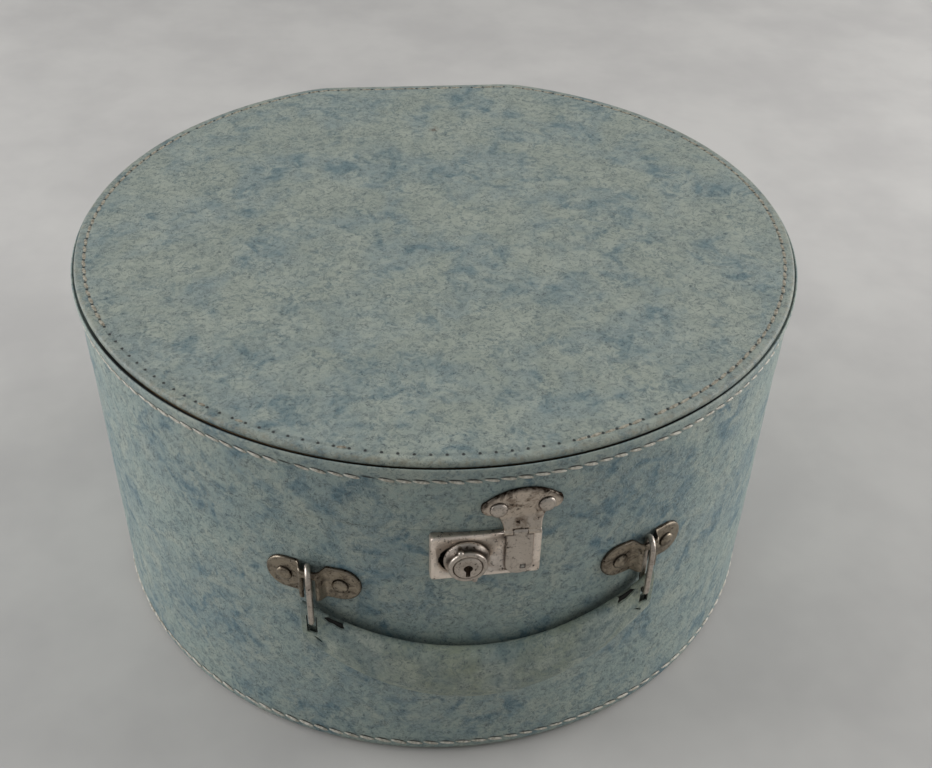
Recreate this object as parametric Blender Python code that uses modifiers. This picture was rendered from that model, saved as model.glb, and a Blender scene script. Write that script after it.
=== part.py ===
"""Round leatherette hat box with a flat back, a hinged lid, a hasp lock and a hanging handle.

Metres, +Z up. The origin is on the base, at the centre of the drum's round wall. The lock and the
handle face -Y, and the flat back with its two hinges faces +Y.
"""

import math

import bmesh
import bpy
from mathutils import Matrix, Vector

MM = 0.001

# Drum
RIM_RADIUS = 175.2 * MM
FLAT_CUT = 14.0 * MM
FLAT_CORNER_RADIUS = 46.0 * MM
BACK_SHARE = 0.972
BACK_TURN = math.radians(-2.4)
SEAM_HEIGHT = 150.0 * MM
SEAM_GAP = 0.5 * MM
RIM_FLARE = 1.6 * MM
RIM_FLARE_HEIGHT = 24.0 * MM
RIM_FLARE_STEPS = 3
SEAM_STEP = 0.4 * MM
LID_DEPTH = 36.6 * MM
ARC_STEPS = 48
CORNER_STEPS = 3

# Wall layers
TOUCH_GAP = 0.3 * MM
COVER_THICKNESS = 0.9 * MM
BOARD_THICKNESS = 2.4 * MM
STRIP_THICKNESS = 0.8 * MM
STRIP_LEG = 9.0 * MM
LINING_THICKNESS = 0.8 * MM
COLLAR_THICKNESS = 1.8 * MM
COLLAR_RISE = 8.0 * MM
COLLAR_CLEARANCE = 1.0 * MM
EDGE_ROUND = 0.5 * MM
BASE_EDGE_ROUND = 2.4 * MM
BASE_COVER_INSET = 2.4 * MM

# Lid panel and its groove
RIM_FOLD_WIDTH = 1.1 * MM
RIM_TOP_DROP = 2.9 * MM
GROOVE_WIDTH = 0.5 * MM
PANEL_ROUND = 0.9 * MM

# Rivets
RIVET_HEAD_RADIUS = 3.7 * MM
RIVET_HEAD_HEIGHT = 1.5 * MM
RIVET_SHANK_RADIUS = 1.4 * MM
RIVET_HOLE_CLEARANCE = 0.2 * MM
RIVET_CLINCH_RADIUS = 2.4 * MM
RIVET_CLINCH_THICKNESS = 0.5 * MM
RIVET_STEPS = 10
RIVET_DOME_STEPS = 3

# Rear hinges
HINGE_SPACING = 70.0 * MM
HINGE_WIDTH = 27.0 * MM
HINGE_LEAF_HEIGHT = 16.0 * MM
HINGE_LEAF_THICKNESS = 1.0 * MM
HINGE_KNUCKLE_RADIUS = 2.4 * MM
HINGE_PIN_RADIUS = 1.1 * MM
HINGE_PIN_CLEARANCE = 0.2 * MM
HINGE_RIVET_HEIGHT = 11.5 * MM
HINGE_RIVET_SPACING = 16.0 * MM
KNUCKLE_GAP = 0.4 * MM
KNUCKLE_STEPS = 12

# Lock plate
LOCK_SHIFT = -0.95 * MM
LOCK_HEIGHT = 24.0 * MM
LOCK_TOP_DROP = 1.2 * MM
LOCK_STAND_OFF = 3.0 * MM
LOCK_SHEET = 1.0 * MM
LOCK_EDGE_ROUND = 0.9 * MM
LOCK_CORNER_RADIUS = 1.8 * MM
LOCK_RIGHT_MARGIN = 3.9 * MM

# Sliding barrel, its key cylinder and what it moves
BARREL_TRAVEL = 4.0 * MM
BARREL_BASE_RADIUS = 9.5 * MM
BARREL_COLLAR_RADIUS = 8.1 * MM
BARREL_BASE_LIP = 1.2 * MM
BARREL_HEIGHT = 5.7 * MM
BARREL_NECK_SHARE = 0.62
BARREL_SHANK_RADIUS = 7.0 * MM
BARREL_STEPS = 24
BARREL_TONGUE_GAP = 6.4 * MM
BARREL_RIB_RADIUS = 1.3 * MM
BARREL_RIB_ANGLE = math.radians(111.0)
SLOT_CLEARANCE = 0.3 * MM
CYLINDER_RADIUS = 5.9 * MM
CYLINDER_CLEARANCE = 0.25 * MM
CYLINDER_PROUD = 0.3 * MM
CYLINDER_TAIL = 5.5 * MM
KEYHOLE_RADIUS = 1.9 * MM
KEYHOLE_SLOT_WIDTH = 1.9 * MM
KEYHOLE_SLOT_LENGTH = 4.6 * MM
KEYHOLE_DEPTH = 8.0 * MM
SLIDER_THICKNESS = 0.9 * MM
SLIDER_SIZE = 15.8 * MM
SLIDER_ARM_HEIGHT = 3.4 * MM
NOSE_SHARE = 0.55
NOSE_CLEARANCE = 0.3 * MM
CAM_THICKNESS = 1.2 * MM
CAM_LENGTH = 7.0 * MM
CAM_WIDTH = 5.0 * MM
CASE_SHEET = 1.0 * MM
CASE_HEIGHT = 20.0 * MM
CASE_SIDE_CLEARANCE = 0.7 * MM
CASE_WINDOW_CLEARANCE = 0.4 * MM
SPRING_SHEET = 0.3 * MM
SPRING_HEIGHT = 13.0 * MM
SPRING_PRESSED_WIDTH = 1.2 * MM
SPRING_STEPS = 8

# Hasp
HASP_SHIFT = 0.9 * MM
HASP_WIDTH = 33.8 * MM
HASP_TOP = 21.2 * MM
HASP_ARC_RADIUS = 21.5 * MM
HASP_TIP_RADIUS = 4.0 * MM
HASP_TIP_HEIGHT = 12.2 * MM
HASP_SHEET = 1.4 * MM
HASP_RIVET_SPACING = 19.7 * MM
HASP_RIVET_HEIGHT = 11.5 * MM
HASP_NECK_TOP_WIDTH = 20.4 * MM
HASP_NECK_TOP_HEIGHT = 7.4 * MM
HASP_NECK_WIDTH = 15.4 * MM
HASP_AXIS_HEIGHT = 0.7 * MM
HASP_KNUCKLE_RADIUS = 1.4 * MM
HASP_PIN_RADIUS = 0.55 * MM
HASP_PIN_CLEARANCE = 0.15 * MM
TONGUE_WIDTH = 11.2 * MM
TONGUE_LENGTH = 24.2 * MM
TONGUE_SHEET = 1.2 * MM
TONGUE_GAP = 0.4 * MM
HOOK_OFFSET = 1.8 * MM
HOOK_WIDTH = 3.4 * MM
HOOK_HEIGHT = 4.4 * MM
HOOK_SHANK = 1.8 * MM
HOOK_NOTCH_DEPTH = 1.5 * MM
HOOK_SWING_CLEARANCE = 0.9 * MM
HOOK_WALL_CLEARANCE = 0.5 * MM

# Handle brackets
BRACKET_ANGLE = math.radians(24.3)
BRACKET_DROP = 36.5 * MM
BRACKET_COLLAR_CLEARANCE = 2.1 * MM
BRACKET_LENGTH = 43.0 * MM
BRACKET_WIDTH = 18.0 * MM
BRACKET_WAIST = 16.0 * MM
BRACKET_SHEET = 1.6 * MM
BRIDGE_RISE = 4.2 * MM
BRIDGE_FLAT = 7.4 * MM
BRIDGE_RAMP = 3.0 * MM
RAMP_STEPS = 3
BRIDGE_BAR_HEIGHT = 4.0 * MM
BRIDGE_SLOT_WIDTH = 5.4 * MM

# Wire links
LINK_WIRE_RADIUS = 1.3 * MM
LINK_WIDTH = 8.0 * MM
LINK_LENGTH = 27.2 * MM

# Handle
HANDLE_END_ANGLE = math.radians(25.5)
HANDLE_MIDDLE_DROP = 10.0 * MM
HANDLE_MIDDLE_WIDTH = 29.0 * MM
HANDLE_END_CLEARANCE = 1.9 * MM
HANDLE_END_DROP = 13.8 * MM
HANDLE_THICKNESS = 12.0 * MM
HANDLE_END_THICKNESS = 4.2 * MM
HANDLE_WALL_GAP = 0.5 * MM
HANDLE_COVER = 0.9 * MM
HANDLE_FLAT_END_SHARE = 0.86
HANDLE_TAPER_POWER = 0.8
HANDLE_STATIONS = 18
HANDLE_SIDES = 12
HANDLE_SQUARENESS = 0.72
HANDLE_HOLE_WIDTH = 3.6 * MM
HANDLE_HOLE_DROP = 11.3 * MM
HANDLE_HOLE_RISE = 3.3 * MM

# Steps of small arcs, and the angles that set sharp and rounded edges
SLOT_STEPS = 10
RIB_STEPS = 10
KEYHOLE_STEPS = 14
CAM_STEPS = 8
FAN_TIP_STEPS = 5
FAN_TOP_STEPS = 7
FAN_BEND_STEPS = 6
TONGUE_STEPS = 10
LOBE_STEPS = 8
BRACKET_EDGE_STEPS = 6
LINK_BEND_STEPS = 8
LINK_WIRE_RESOLUTION = 2
SHADING_ANGLE = math.radians(30.0)
ROUNDING_ANGLE = math.radians(40.0)

# Places that several pieces share
OVERRUN = 2.0 * MM
FLAT_DISTANCE = RIM_RADIUS - FLAT_CUT
BODY_INSET = RIM_FLARE + SEAM_STEP
BODY_RADIUS = RIM_RADIUS - BODY_INSET
LID_RADIUS = RIM_RADIUS - RIM_FLARE
LID_TOP = SEAM_HEIGHT + LID_DEPTH
BODY_TOP = SEAM_HEIGHT - SEAM_GAP / 2
LID_BOTTOM = SEAM_HEIGHT + SEAM_GAP / 2
BOARD_INSET = COVER_THICKNESS + TOUCH_GAP
WALL_INSET = BOARD_INSET + BOARD_THICKNESS
STRIP_INSET = WALL_INSET + TOUCH_GAP
LINING_INSET = STRIP_INSET + STRIP_THICKNESS + TOUCH_GAP
COLLAR_INNER_INSET = STRIP_INSET + COLLAR_THICKNESS
BASE_LIP_BOTTOM = COVER_THICKNESS + TOUCH_GAP
BASE_BOARD_TOP = BASE_LIP_BOTTOM + BOARD_THICKNESS
PANEL_UNDERSIDE = LID_TOP - COVER_THICKNESS - TOUCH_GAP - BOARD_THICKNESS
PANEL_INSET = RIM_FOLD_WIDTH + GROOVE_WIDTH
SPRING_SIDE_WIDTH = LOCK_SHEET + 2 * TOUCH_GAP + SPRING_PRESSED_WIDTH + SLIDER_SIZE / 2
BARREL_SIDE_WIDTH = SPRING_SIDE_WIDTH + BARREL_TRAVEL
BARREL_TO_HASP = BARREL_BASE_RADIUS + BARREL_TONGUE_GAP + TONGUE_WIDTH / 2
LOCK_WIDTH = BARREL_SIDE_WIDTH + BARREL_TO_HASP + TONGUE_WIDTH / 2 + LOCK_RIGHT_MARGIN
LOCK_LEFT = LOCK_SHIFT - LOCK_WIDTH / 2
BARREL_OFFSET = LOCK_LEFT + BARREL_SIDE_WIDTH
HASP_OFFSET = BARREL_OFFSET + BARREL_TO_HASP
HASP_MIDDLE = HASP_OFFSET + HASP_SHIFT
LOCK_TOP = SEAM_HEIGHT - LOCK_TOP_DROP
LOCK_MIDDLE = LOCK_TOP - LOCK_HEIGHT / 2
LOCK_FACE = BODY_RADIUS + LOCK_STAND_OFF
LOCK_BACK = LOCK_FACE - LOCK_SHEET
SLIDER_FACE = LOCK_BACK - TOUCH_GAP
SLIDER_BACK = SLIDER_FACE - SLIDER_THICKNESS
BARREL_FOOT = LOCK_FACE + TOUCH_GAP
HINGE_BACK_Y = FLAT_DISTANCE - BACK_SHARE * RIM_FLARE + TOUCH_GAP
HINGE_AXIS_Y = HINGE_BACK_Y + HINGE_KNUCKLE_RADIUS
HASP_AXIS_Z = SEAM_HEIGHT + HASP_AXIS_HEIGHT
TONGUE_BACK = LOCK_FACE + TONGUE_GAP
HASP_AXIS_OUT = TONGUE_BACK + TONGUE_SHEET / 2
HOOK_MIDDLE_Z = LOCK_MIDDLE - SLIDER_SIZE / 2 + SLIDER_ARM_HEIGHT / 2
BRACKET_HEIGHT = SEAM_HEIGHT - BRACKET_DROP
COLLAR_DROP = BRACKET_DROP - RIVET_CLINCH_RADIUS - BRACKET_COLLAR_CLEARANCE
BRIDGE_MIDDLE_OUT = BODY_RADIUS + TOUCH_GAP + BRIDGE_RISE + BRACKET_SHEET / 2
BAR_MIDDLE_Z = BRACKET_HEIGHT + BRACKET_WAIST / 2 - BRIDGE_BAR_HEIGHT / 2
LINK_BOTTOM_HEIGHT = BAR_MIDDLE_Z - LINK_LENGTH
HANDLE_MIDDLE_TOP = LINK_BOTTOM_HEIGHT - HANDLE_MIDDLE_DROP
HANDLE_MIDDLE_BOTTOM = HANDLE_MIDDLE_TOP - HANDLE_MIDDLE_WIDTH
HANDLE_END_TOP = BRACKET_HEIGHT - BRACKET_WIDTH / 2 - HANDLE_END_CLEARANCE
HANDLE_END_BOTTOM = LINK_BOTTOM_HEIGHT - HANDLE_END_DROP
HANDLE_HOLE_BOTTOM = LINK_BOTTOM_HEIGHT - HANDLE_HOLE_DROP
HANDLE_HOLE_TOP = LINK_BOTTOM_HEIGHT + HANDLE_HOLE_RISE
HANDLE_AXIS_Y = -BRIDGE_MIDDLE_OUT * math.cos(BRACKET_ANGLE)
LINK_X = BRIDGE_MIDDLE_OUT * math.sin(BRACKET_ANGLE)
TURNED_BACK = Matrix.Rotation(BACK_TURN, 4, "Z")

# Looks: linear base colour, roughness and metallic value
LEATHERETTE = ((0.30, 0.39, 0.38), 0.55, 0.0)
BOARD = ((0.42, 0.30, 0.18), 0.90, 0.0)
LINING = ((0.62, 0.58, 0.48), 0.85, 0.0)
NICKEL = ((0.42, 0.38, 0.34), 0.38, 1.0)
STEEL = ((0.35, 0.34, 0.33), 0.45, 1.0)
HANDLE_LEATHERETTE = ((0.28, 0.38, 0.36), 0.50, 0.0)
FIBRE = ((0.45, 0.30, 0.17), 0.80, 0.0)


def clear_scene():
    for item in list(bpy.data.objects):
        bpy.data.objects.remove(item, do_unlink=True)


def new_collection(name):
    collection = bpy.data.collections.new(name)
    bpy.context.scene.collection.children.link(collection)
    return collection


def make_material(name, look):
    colour, roughness, metallic = look
    material = bpy.data.materials.new(name)
    material.use_nodes = True
    shader = material.node_tree.nodes["Principled BSDF"]
    shader.inputs["Base Color"].default_value = (*colour, 1.0)
    shader.inputs["Roughness"].default_value = roughness
    shader.inputs["Metallic"].default_value = metallic
    return material


def closed_mesh(mesh):
    """Weld a mesh's coincident points and turn all its faces outward."""
    work = bmesh.new()
    work.from_mesh(mesh)
    bmesh.ops.remove_doubles(work, verts=work.verts, dist=MM / 1000)
    bmesh.ops.recalc_face_normals(work, faces=work.faces)
    work.to_mesh(mesh)
    work.free()
    return mesh


def add_part(name, mesh, look, matrix=None):
    if matrix is not None:
        mesh.transform(matrix)
    mesh.shade_smooth()
    mesh.set_sharp_from_angle(angle=SHADING_ANGLE)
    mesh.materials.append(make_material(name, look))
    part = bpy.data.objects.new(name, mesh)
    PARTS.objects.link(part)
    return part


def add_cutter(name, mesh, matrix=None):
    if matrix is not None:
        mesh.transform(matrix)
    cutter = bpy.data.objects.new(name, mesh)
    cutter.hide_render = True
    cutter.display_type = "WIRE"
    CUTTERS.objects.link(cutter)
    return cutter


def combine(part, cutter, operation="DIFFERENCE"):
    modifier = part.modifiers.new(cutter.name, "BOOLEAN")
    modifier.operation = operation
    modifier.object = cutter
    return modifier


def round_edges(part, width, segments=2):
    modifier = part.modifiers.new("rounded edges", "BEVEL")
    modifier.width = width
    modifier.segments = segments
    modifier.limit_method = "ANGLE"
    modifier.angle_limit = ROUNDING_ANGLE
    return modifier


def mesh_from_curve(curve):
    """The curve as a closed mesh; the curve and its helper object are removed."""
    helper = bpy.data.objects.new("curve helper", curve)
    CUTTERS.objects.link(helper)
    bpy.context.view_layer.update()
    graph = bpy.context.evaluated_depsgraph_get()
    mesh = bpy.data.meshes.new_from_object(helper.evaluated_get(graph))
    bpy.data.objects.remove(helper)
    return closed_mesh(mesh)


def add_spline(curve, points):
    spline = curve.splines.new("POLY")
    spline.points.add(len(points) - 1)
    for target, point in zip(spline.points, points):
        target.co = (point[0], point[1], point[2] if len(point) > 2 else 0.0, 1.0)
    spline.use_cyclic_u = True
    return spline


def flat_solid(points, thickness, holes=()):
    """A flat outline in XY, with holes, from height 0 up to its thickness."""
    curve = bpy.data.curves.new("outline", "CURVE")
    curve.dimensions = "2D"
    curve.fill_mode = "BOTH"
    curve.extrude = thickness / 2
    for loop in (points, *holes):
        add_spline(curve, loop)
    mesh = mesh_from_curve(curve)
    mesh.transform(Matrix.Translation((0.0, 0.0, thickness / 2)))
    return mesh


def swept_ring(outline, section):
    """Sweep a closed section of (inset, height) points round a closed outline."""
    profile = bpy.data.curves.new("section", "CURVE")
    profile.dimensions = "2D"
    add_spline(profile, section)
    profile_object = bpy.data.objects.new("section", profile)
    CUTTERS.objects.link(profile_object)
    path = bpy.data.curves.new("path", "CURVE")
    path.dimensions = "2D"
    path.bevel_mode = "OBJECT"
    path.bevel_object = profile_object
    add_spline(path, outline)
    mesh = mesh_from_curve(path)
    bpy.data.objects.remove(profile_object)
    return mesh


def turned(profile, steps, closed=False):
    """Turn a profile of (radius, height) points about Z; it starts and ends on the axis unless closed."""
    mesh = bpy.data.meshes.new("profile")
    points = [(radius, 0.0, height) for radius, height in profile]
    edges = [(index, index + 1) for index in range(len(points) - 1)]
    if closed:
        edges.append((len(points) - 1, 0))
    mesh.from_pydata(points, edges, [])
    helper = bpy.data.objects.new("profile helper", mesh)
    CUTTERS.objects.link(helper)
    screw = helper.modifiers.new("turn", "SCREW")
    screw.steps = steps
    screw.render_steps = steps
    screw.use_merge_vertices = True
    screw.merge_threshold = MM / 1000
    bpy.context.view_layer.update()
    graph = bpy.context.evaluated_depsgraph_get()
    result = bpy.data.meshes.new_from_object(helper.evaluated_get(graph))
    bpy.data.objects.remove(helper)
    return closed_mesh(result)


def rod(radius, length, steps):
    half = length / 2
    return turned([(0.0, half), (radius, half), (radius, -half), (0.0, -half)], steps)


def block(low, high):
    work = bmesh.new()
    bmesh.ops.create_cube(work, size=1.0)
    low, high = Vector(low), Vector(high)
    size = high - low
    bmesh.ops.scale(work, vec=size, verts=work.verts)
    bmesh.ops.translate(work, vec=(low + high) / 2, verts=work.verts)
    mesh = bpy.data.meshes.new("block")
    work.to_mesh(mesh)
    work.free()
    return mesh


def joined(meshes_and_matrices):
    """Several meshes, each moved by its matrix, as one mesh of separate bodies."""
    work = bmesh.new()
    for mesh, matrix in meshes_and_matrices:
        copy = mesh.copy()
        copy.transform(matrix)
        work.from_mesh(copy)
        bpy.data.meshes.remove(copy)
    mesh = bpy.data.meshes.new("group")
    work.to_mesh(mesh)
    work.free()
    return mesh


def eased(share):
    """A smooth start and end between 0 and 1."""
    return (1 - math.cos(math.pi * share)) / 2


def arc(centre_x, centre_y, radius, start, end, steps):
    points = []
    for index in range(steps + 1):
        angle = start + (end - start) * index / steps
        points.append((centre_x + radius * math.cos(angle), centre_y + radius * math.sin(angle)))
    return points


def circle(centre_x, centre_y, radius, steps):
    return arc(centre_x, centre_y, radius, 0.0, 2 * math.pi, steps)[:-1]


def rounded_rectangle(width, height, radius, steps=3):
    """Corner arcs of a rectangle about the origin, anticlockwise."""
    x, y = width / 2 - radius, height / 2 - radius
    quarter = math.pi / 2
    corners = ((x, y), (-x, y), (-x, -y), (x, -y))
    points = []
    for index, (corner_x, corner_y) in enumerate(corners):
        points += arc(corner_x, corner_y, radius, index * quarter, (index + 1) * quarter, steps)
    return points


def drum_outline(inset):
    """The rim's plan taken in by an inset: a circle cut by the flat back, with rounded corners.

    The back half is a little shallower than a circle's, and is turned a little about the drum.
    """
    outer = RIM_RADIUS - inset
    corner = FLAT_CORNER_RADIUS - inset
    centre_y = FLAT_DISTANCE / BACK_SHARE - FLAT_CORNER_RADIUS
    centre_x = math.sqrt((RIM_RADIUS - FLAT_CORNER_RADIUS) ** 2 - centre_y ** 2)
    lean = math.atan2(centre_y, centre_x)
    points = arc(0.0, 0.0, outer, math.pi - lean, 2 * math.pi + lean, ARC_STEPS)
    points += arc(centre_x, centre_y, corner, lean, math.pi / 2, CORNER_STEPS)[1:]
    points += arc(-centre_x, centre_y, corner, math.pi / 2, math.pi - lean, CORNER_STEPS)[:-1]
    plan = [Vector((x, y * BACK_SHARE if y > 0 else y, 0.0)) for x, y in points]
    return [(TURNED_BACK @ point).xy for point in plan]


def facing_out(angle, x, out, z):
    """Local +Z points out of the drum, at an angle from the front, +Y stays up."""
    turn = Matrix.Rotation(angle, 4, "Z")
    return turn @ Matrix.Translation((x, -out, z)) @ Matrix.Rotation(math.pi / 2, 4, "X")


def sliced_along_x(mesh, places):
    work = bmesh.new()
    work.from_mesh(mesh)
    for place in places:
        everything = work.verts[:] + work.edges[:] + work.faces[:]
        bmesh.ops.bisect_plane(
            work, geom=everything, dist=MM / 1000, plane_co=(place, 0.0, 0.0), plane_no=(1.0, 0.0, 0.0)
        )
    work.to_mesh(mesh)
    work.free()
    return mesh


def wrapped(mesh, radius, angle, z):
    """Bend a flat plate (x across, y up, z out) round the drum at an angle and a height."""
    for vertex in mesh.vertices:
        across, up, out = vertex.co
        around = angle + across / radius
        distance = radius + out
        vertex.co = (distance * math.sin(around), -distance * math.cos(around), z + up)
    return mesh


def ring_section(inset_low, inset_high, z_low, z_high):
    return [(inset_low, z_low), (inset_low, z_high), (inset_high, z_high), (inset_high, z_low)]


def rivet_mesh(grip, clinch=True):
    """A domed rivet whose head's underside is at height 0 and whose grip is the length below it."""
    dome = [(0.0, RIVET_HEAD_HEIGHT)]
    for index in range(1, RIVET_DOME_STEPS):
        angle = math.pi / 2 * index / RIVET_DOME_STEPS
        dome.append((RIVET_HEAD_RADIUS * math.sin(angle), RIVET_HEAD_HEIGHT * math.cos(angle)))
    dome += [(RIVET_HEAD_RADIUS, 0.0), (RIVET_SHANK_RADIUS, 0.0), (RIVET_SHANK_RADIUS, -grip)]
    if clinch:
        end = -grip - RIVET_CLINCH_THICKNESS
        dome += [(RIVET_CLINCH_RADIUS, -grip), (RIVET_CLINCH_RADIUS, end), (0.0, end)]
    else:
        dome.append((0.0, -grip))
    return turned(dome, RIVET_STEPS)


def add_rivets(names, grip, places, layers):
    """One rivet at each place, and its hole through each layer."""
    hole = rivet_hole_mesh(2 * (grip + OVERRUN))
    cutter = add_cutter(f"{names[0]}_holes", joined([(hole, place) for place in places]))
    for layer in layers:
        combine(layer, cutter)
    return [add_part(name, rivet_mesh(grip), NICKEL, place) for name, place in zip(names, places)]


def rivet_hole_mesh(length):
    return rod(RIVET_SHANK_RADIUS + RIVET_HOLE_CLEARANCE, length, RIVET_STEPS)


def body_wall_section():
    """Cover of the body wall, turned in over the board at the seam and under it at the base."""
    skin = COVER_THICKNESS
    low = BASE_LIP_BOTTOM
    turned_in = BASE_EDGE_ROUND * (1 - math.sqrt(0.5))
    return [
        (EDGE_ROUND, BODY_TOP), (0.0, BODY_TOP - EDGE_ROUND), (0.0, low + BASE_EDGE_ROUND),
        (turned_in, low + turned_in), (BASE_EDGE_ROUND, low), (WALL_INSET, low), (WALL_INSET, low + skin),
        (BOARD_INSET + BASE_EDGE_ROUND / 2, low + skin), (skin, low + skin + BASE_EDGE_ROUND / 2),
        (skin, BODY_TOP - skin), (WALL_INSET, BODY_TOP - skin), (WALL_INSET, BODY_TOP),
    ]


def corner_strip_section(height, direction):
    """L-shaped strip in a corner: height is its outer face, direction is up (1) or down (-1)."""
    leg = direction * STRIP_LEG
    skin = direction * STRIP_THICKNESS
    outer, inner = STRIP_INSET, STRIP_INSET + STRIP_THICKNESS
    return [
        (outer, height), (outer, height + leg), (inner, height + leg),
        (inner, height + skin), (inner + STRIP_LEG, height + skin), (inner + STRIP_LEG, height),
    ]


def build_body():
    outline = drum_outline(BODY_INSET)
    cover = add_part("body_cover", swept_ring(outline, body_wall_section()), LEATHERETTE)
    board_low = BASE_LIP_BOTTOM + COVER_THICKNESS + BASE_EDGE_ROUND / 2 + TOUCH_GAP
    board_high = BODY_TOP - COVER_THICKNESS - TOUCH_GAP
    board_section = ring_section(BOARD_INSET, WALL_INSET, board_low, board_high)
    board = add_part("body_board", swept_ring(outline, board_section), BOARD)

    base_cover_mesh = flat_solid(drum_outline(BODY_INSET + BASE_COVER_INSET), COVER_THICKNESS)
    base_cover = add_part("base_cover", base_cover_mesh, LEATHERETTE)
    round_edges(base_cover, COVER_THICKNESS / 3, segments=1)
    lift = Matrix.Translation((0.0, 0.0, BASE_LIP_BOTTOM))
    base_board_mesh = flat_solid(drum_outline(BODY_INSET + STRIP_INSET), BOARD_THICKNESS)
    add_part("base_board", base_board_mesh, BOARD, lift)

    strip_low = BASE_BOARD_TOP + TOUCH_GAP
    strip_mesh = swept_ring(outline, corner_strip_section(strip_low, 1.0))
    add_part("base_corner_strip", strip_mesh, FIBRE)

    lining_low = strip_low + STRIP_THICKNESS + TOUCH_GAP
    lining_high = SEAM_HEIGHT - COLLAR_DROP - TOUCH_GAP
    lining_section = ring_section(LINING_INSET, LINING_INSET + LINING_THICKNESS, lining_low, lining_high)
    add_part("body_lining", swept_ring(outline, lining_section), LINING)
    base_lining_inset = BODY_INSET + LINING_INSET + LINING_THICKNESS + TOUCH_GAP
    base_lining_mesh = flat_solid(drum_outline(base_lining_inset), LINING_THICKNESS)
    add_part("base_lining", base_lining_mesh, LINING, Matrix.Translation((0.0, 0.0, lining_low)))

    collar_low, collar_high = SEAM_HEIGHT - COLLAR_DROP, SEAM_HEIGHT + COLLAR_RISE
    collar_section = ring_section(STRIP_INSET, COLLAR_INNER_INSET, collar_low, collar_high)
    collar = add_part("body_collar", swept_ring(outline, collar_section), LINING)
    return cover, board, collar


def lid_rim_section():
    """Cover of the lid wall: straight up from the seam, then flared to a folded bead at the top."""
    skin = RIM_FLARE + COVER_THICKNESS
    lip = RIM_FLARE + WALL_INSET
    rim_top = LID_TOP - RIM_TOP_DROP
    ledge = PANEL_UNDERSIDE - TOUCH_GAP
    section = [
        (RIM_FOLD_WIDTH, ledge), (RIM_FOLD_WIDTH, rim_top - EDGE_ROUND),
        (RIM_FOLD_WIDTH - EDGE_ROUND, rim_top), (EDGE_ROUND, rim_top),
    ]
    flare_low, flare_high = SEAM_HEIGHT + RIM_FLARE_HEIGHT, rim_top - 2 * EDGE_ROUND
    for index in range(RIM_FLARE_STEPS + 1):
        share = index / RIM_FLARE_STEPS
        flare = RIM_FLARE * eased(share)
        section.append((flare, flare_high + (flare_low - flare_high) * share))
    section += [
        (RIM_FLARE, LID_BOTTOM + EDGE_ROUND), (RIM_FLARE + EDGE_ROUND, LID_BOTTOM), (lip, LID_BOTTOM),
        (lip, LID_BOTTOM + COVER_THICKNESS), (skin, LID_BOTTOM + COVER_THICKNESS), (skin, ledge),
    ]
    return section


def build_lid():
    rim_cover = add_part("lid_rim_cover", swept_ring(drum_outline(0.0), lid_rim_section()), LEATHERETTE)
    wall = drum_outline(RIM_FLARE)
    board_low, board_high = LID_BOTTOM + COVER_THICKNESS + TOUCH_GAP, PANEL_UNDERSIDE - TOUCH_GAP
    rim_board_section = ring_section(BOARD_INSET, WALL_INSET, board_low, board_high)
    rim_board = add_part("lid_rim_board", swept_ring(wall, rim_board_section), BOARD)

    raised = Matrix.Translation((0.0, 0.0, PANEL_UNDERSIDE))
    top_mesh = flat_solid(drum_outline(PANEL_INSET), LID_TOP - PANEL_UNDERSIDE)
    top_cover = add_part("lid_top_cover", top_mesh, LEATHERETTE, raised)
    round_edges(top_cover, PANEL_ROUND)
    pocket_inset = PANEL_INSET + COVER_THICKNESS
    pocket_mesh = flat_solid(drum_outline(pocket_inset), OVERRUN + BOARD_THICKNESS + TOUCH_GAP)
    sunk = Matrix.Translation((0.0, 0.0, PANEL_UNDERSIDE - OVERRUN))
    combine(top_cover, add_cutter("lid_top_pocket", pocket_mesh, sunk))
    board_mesh = flat_solid(drum_outline(pocket_inset + TOUCH_GAP), BOARD_THICKNESS)
    top_board = add_part("lid_top_board", board_mesh, BOARD, raised)

    strip_high = PANEL_UNDERSIDE - TOUCH_GAP
    strip = add_part("lid_corner_strip", swept_ring(wall, corner_strip_section(strip_high, -1.0)), FIBRE)
    lining_high = strip_high - STRIP_THICKNESS - TOUCH_GAP
    lining_low = SEAM_HEIGHT + COLLAR_RISE + COLLAR_CLEARANCE
    lining_section = ring_section(LINING_INSET, LINING_INSET + LINING_THICKNESS, lining_low, lining_high)
    rim_lining = add_part("lid_rim_lining", swept_ring(wall, lining_section), LINING)
    top_lining_inset = RIM_FLARE + LINING_INSET + LINING_THICKNESS + TOUCH_GAP
    under_top = Matrix.Translation((0.0, 0.0, lining_high - LINING_THICKNESS))
    top_lining_mesh = flat_solid(drum_outline(top_lining_inset), LINING_THICKNESS)
    top_lining = add_part("lid_top_lining", top_lining_mesh, LINING, under_top)
    return [rim_cover, rim_board, top_cover, top_board, strip, rim_lining, top_lining]


def along_x(x, y, z):
    """Local +Z along +X, at a place."""
    return Matrix.Translation((x, y, z)) @ Matrix.Rotation(math.pi / 2, 4, "Y")


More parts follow.
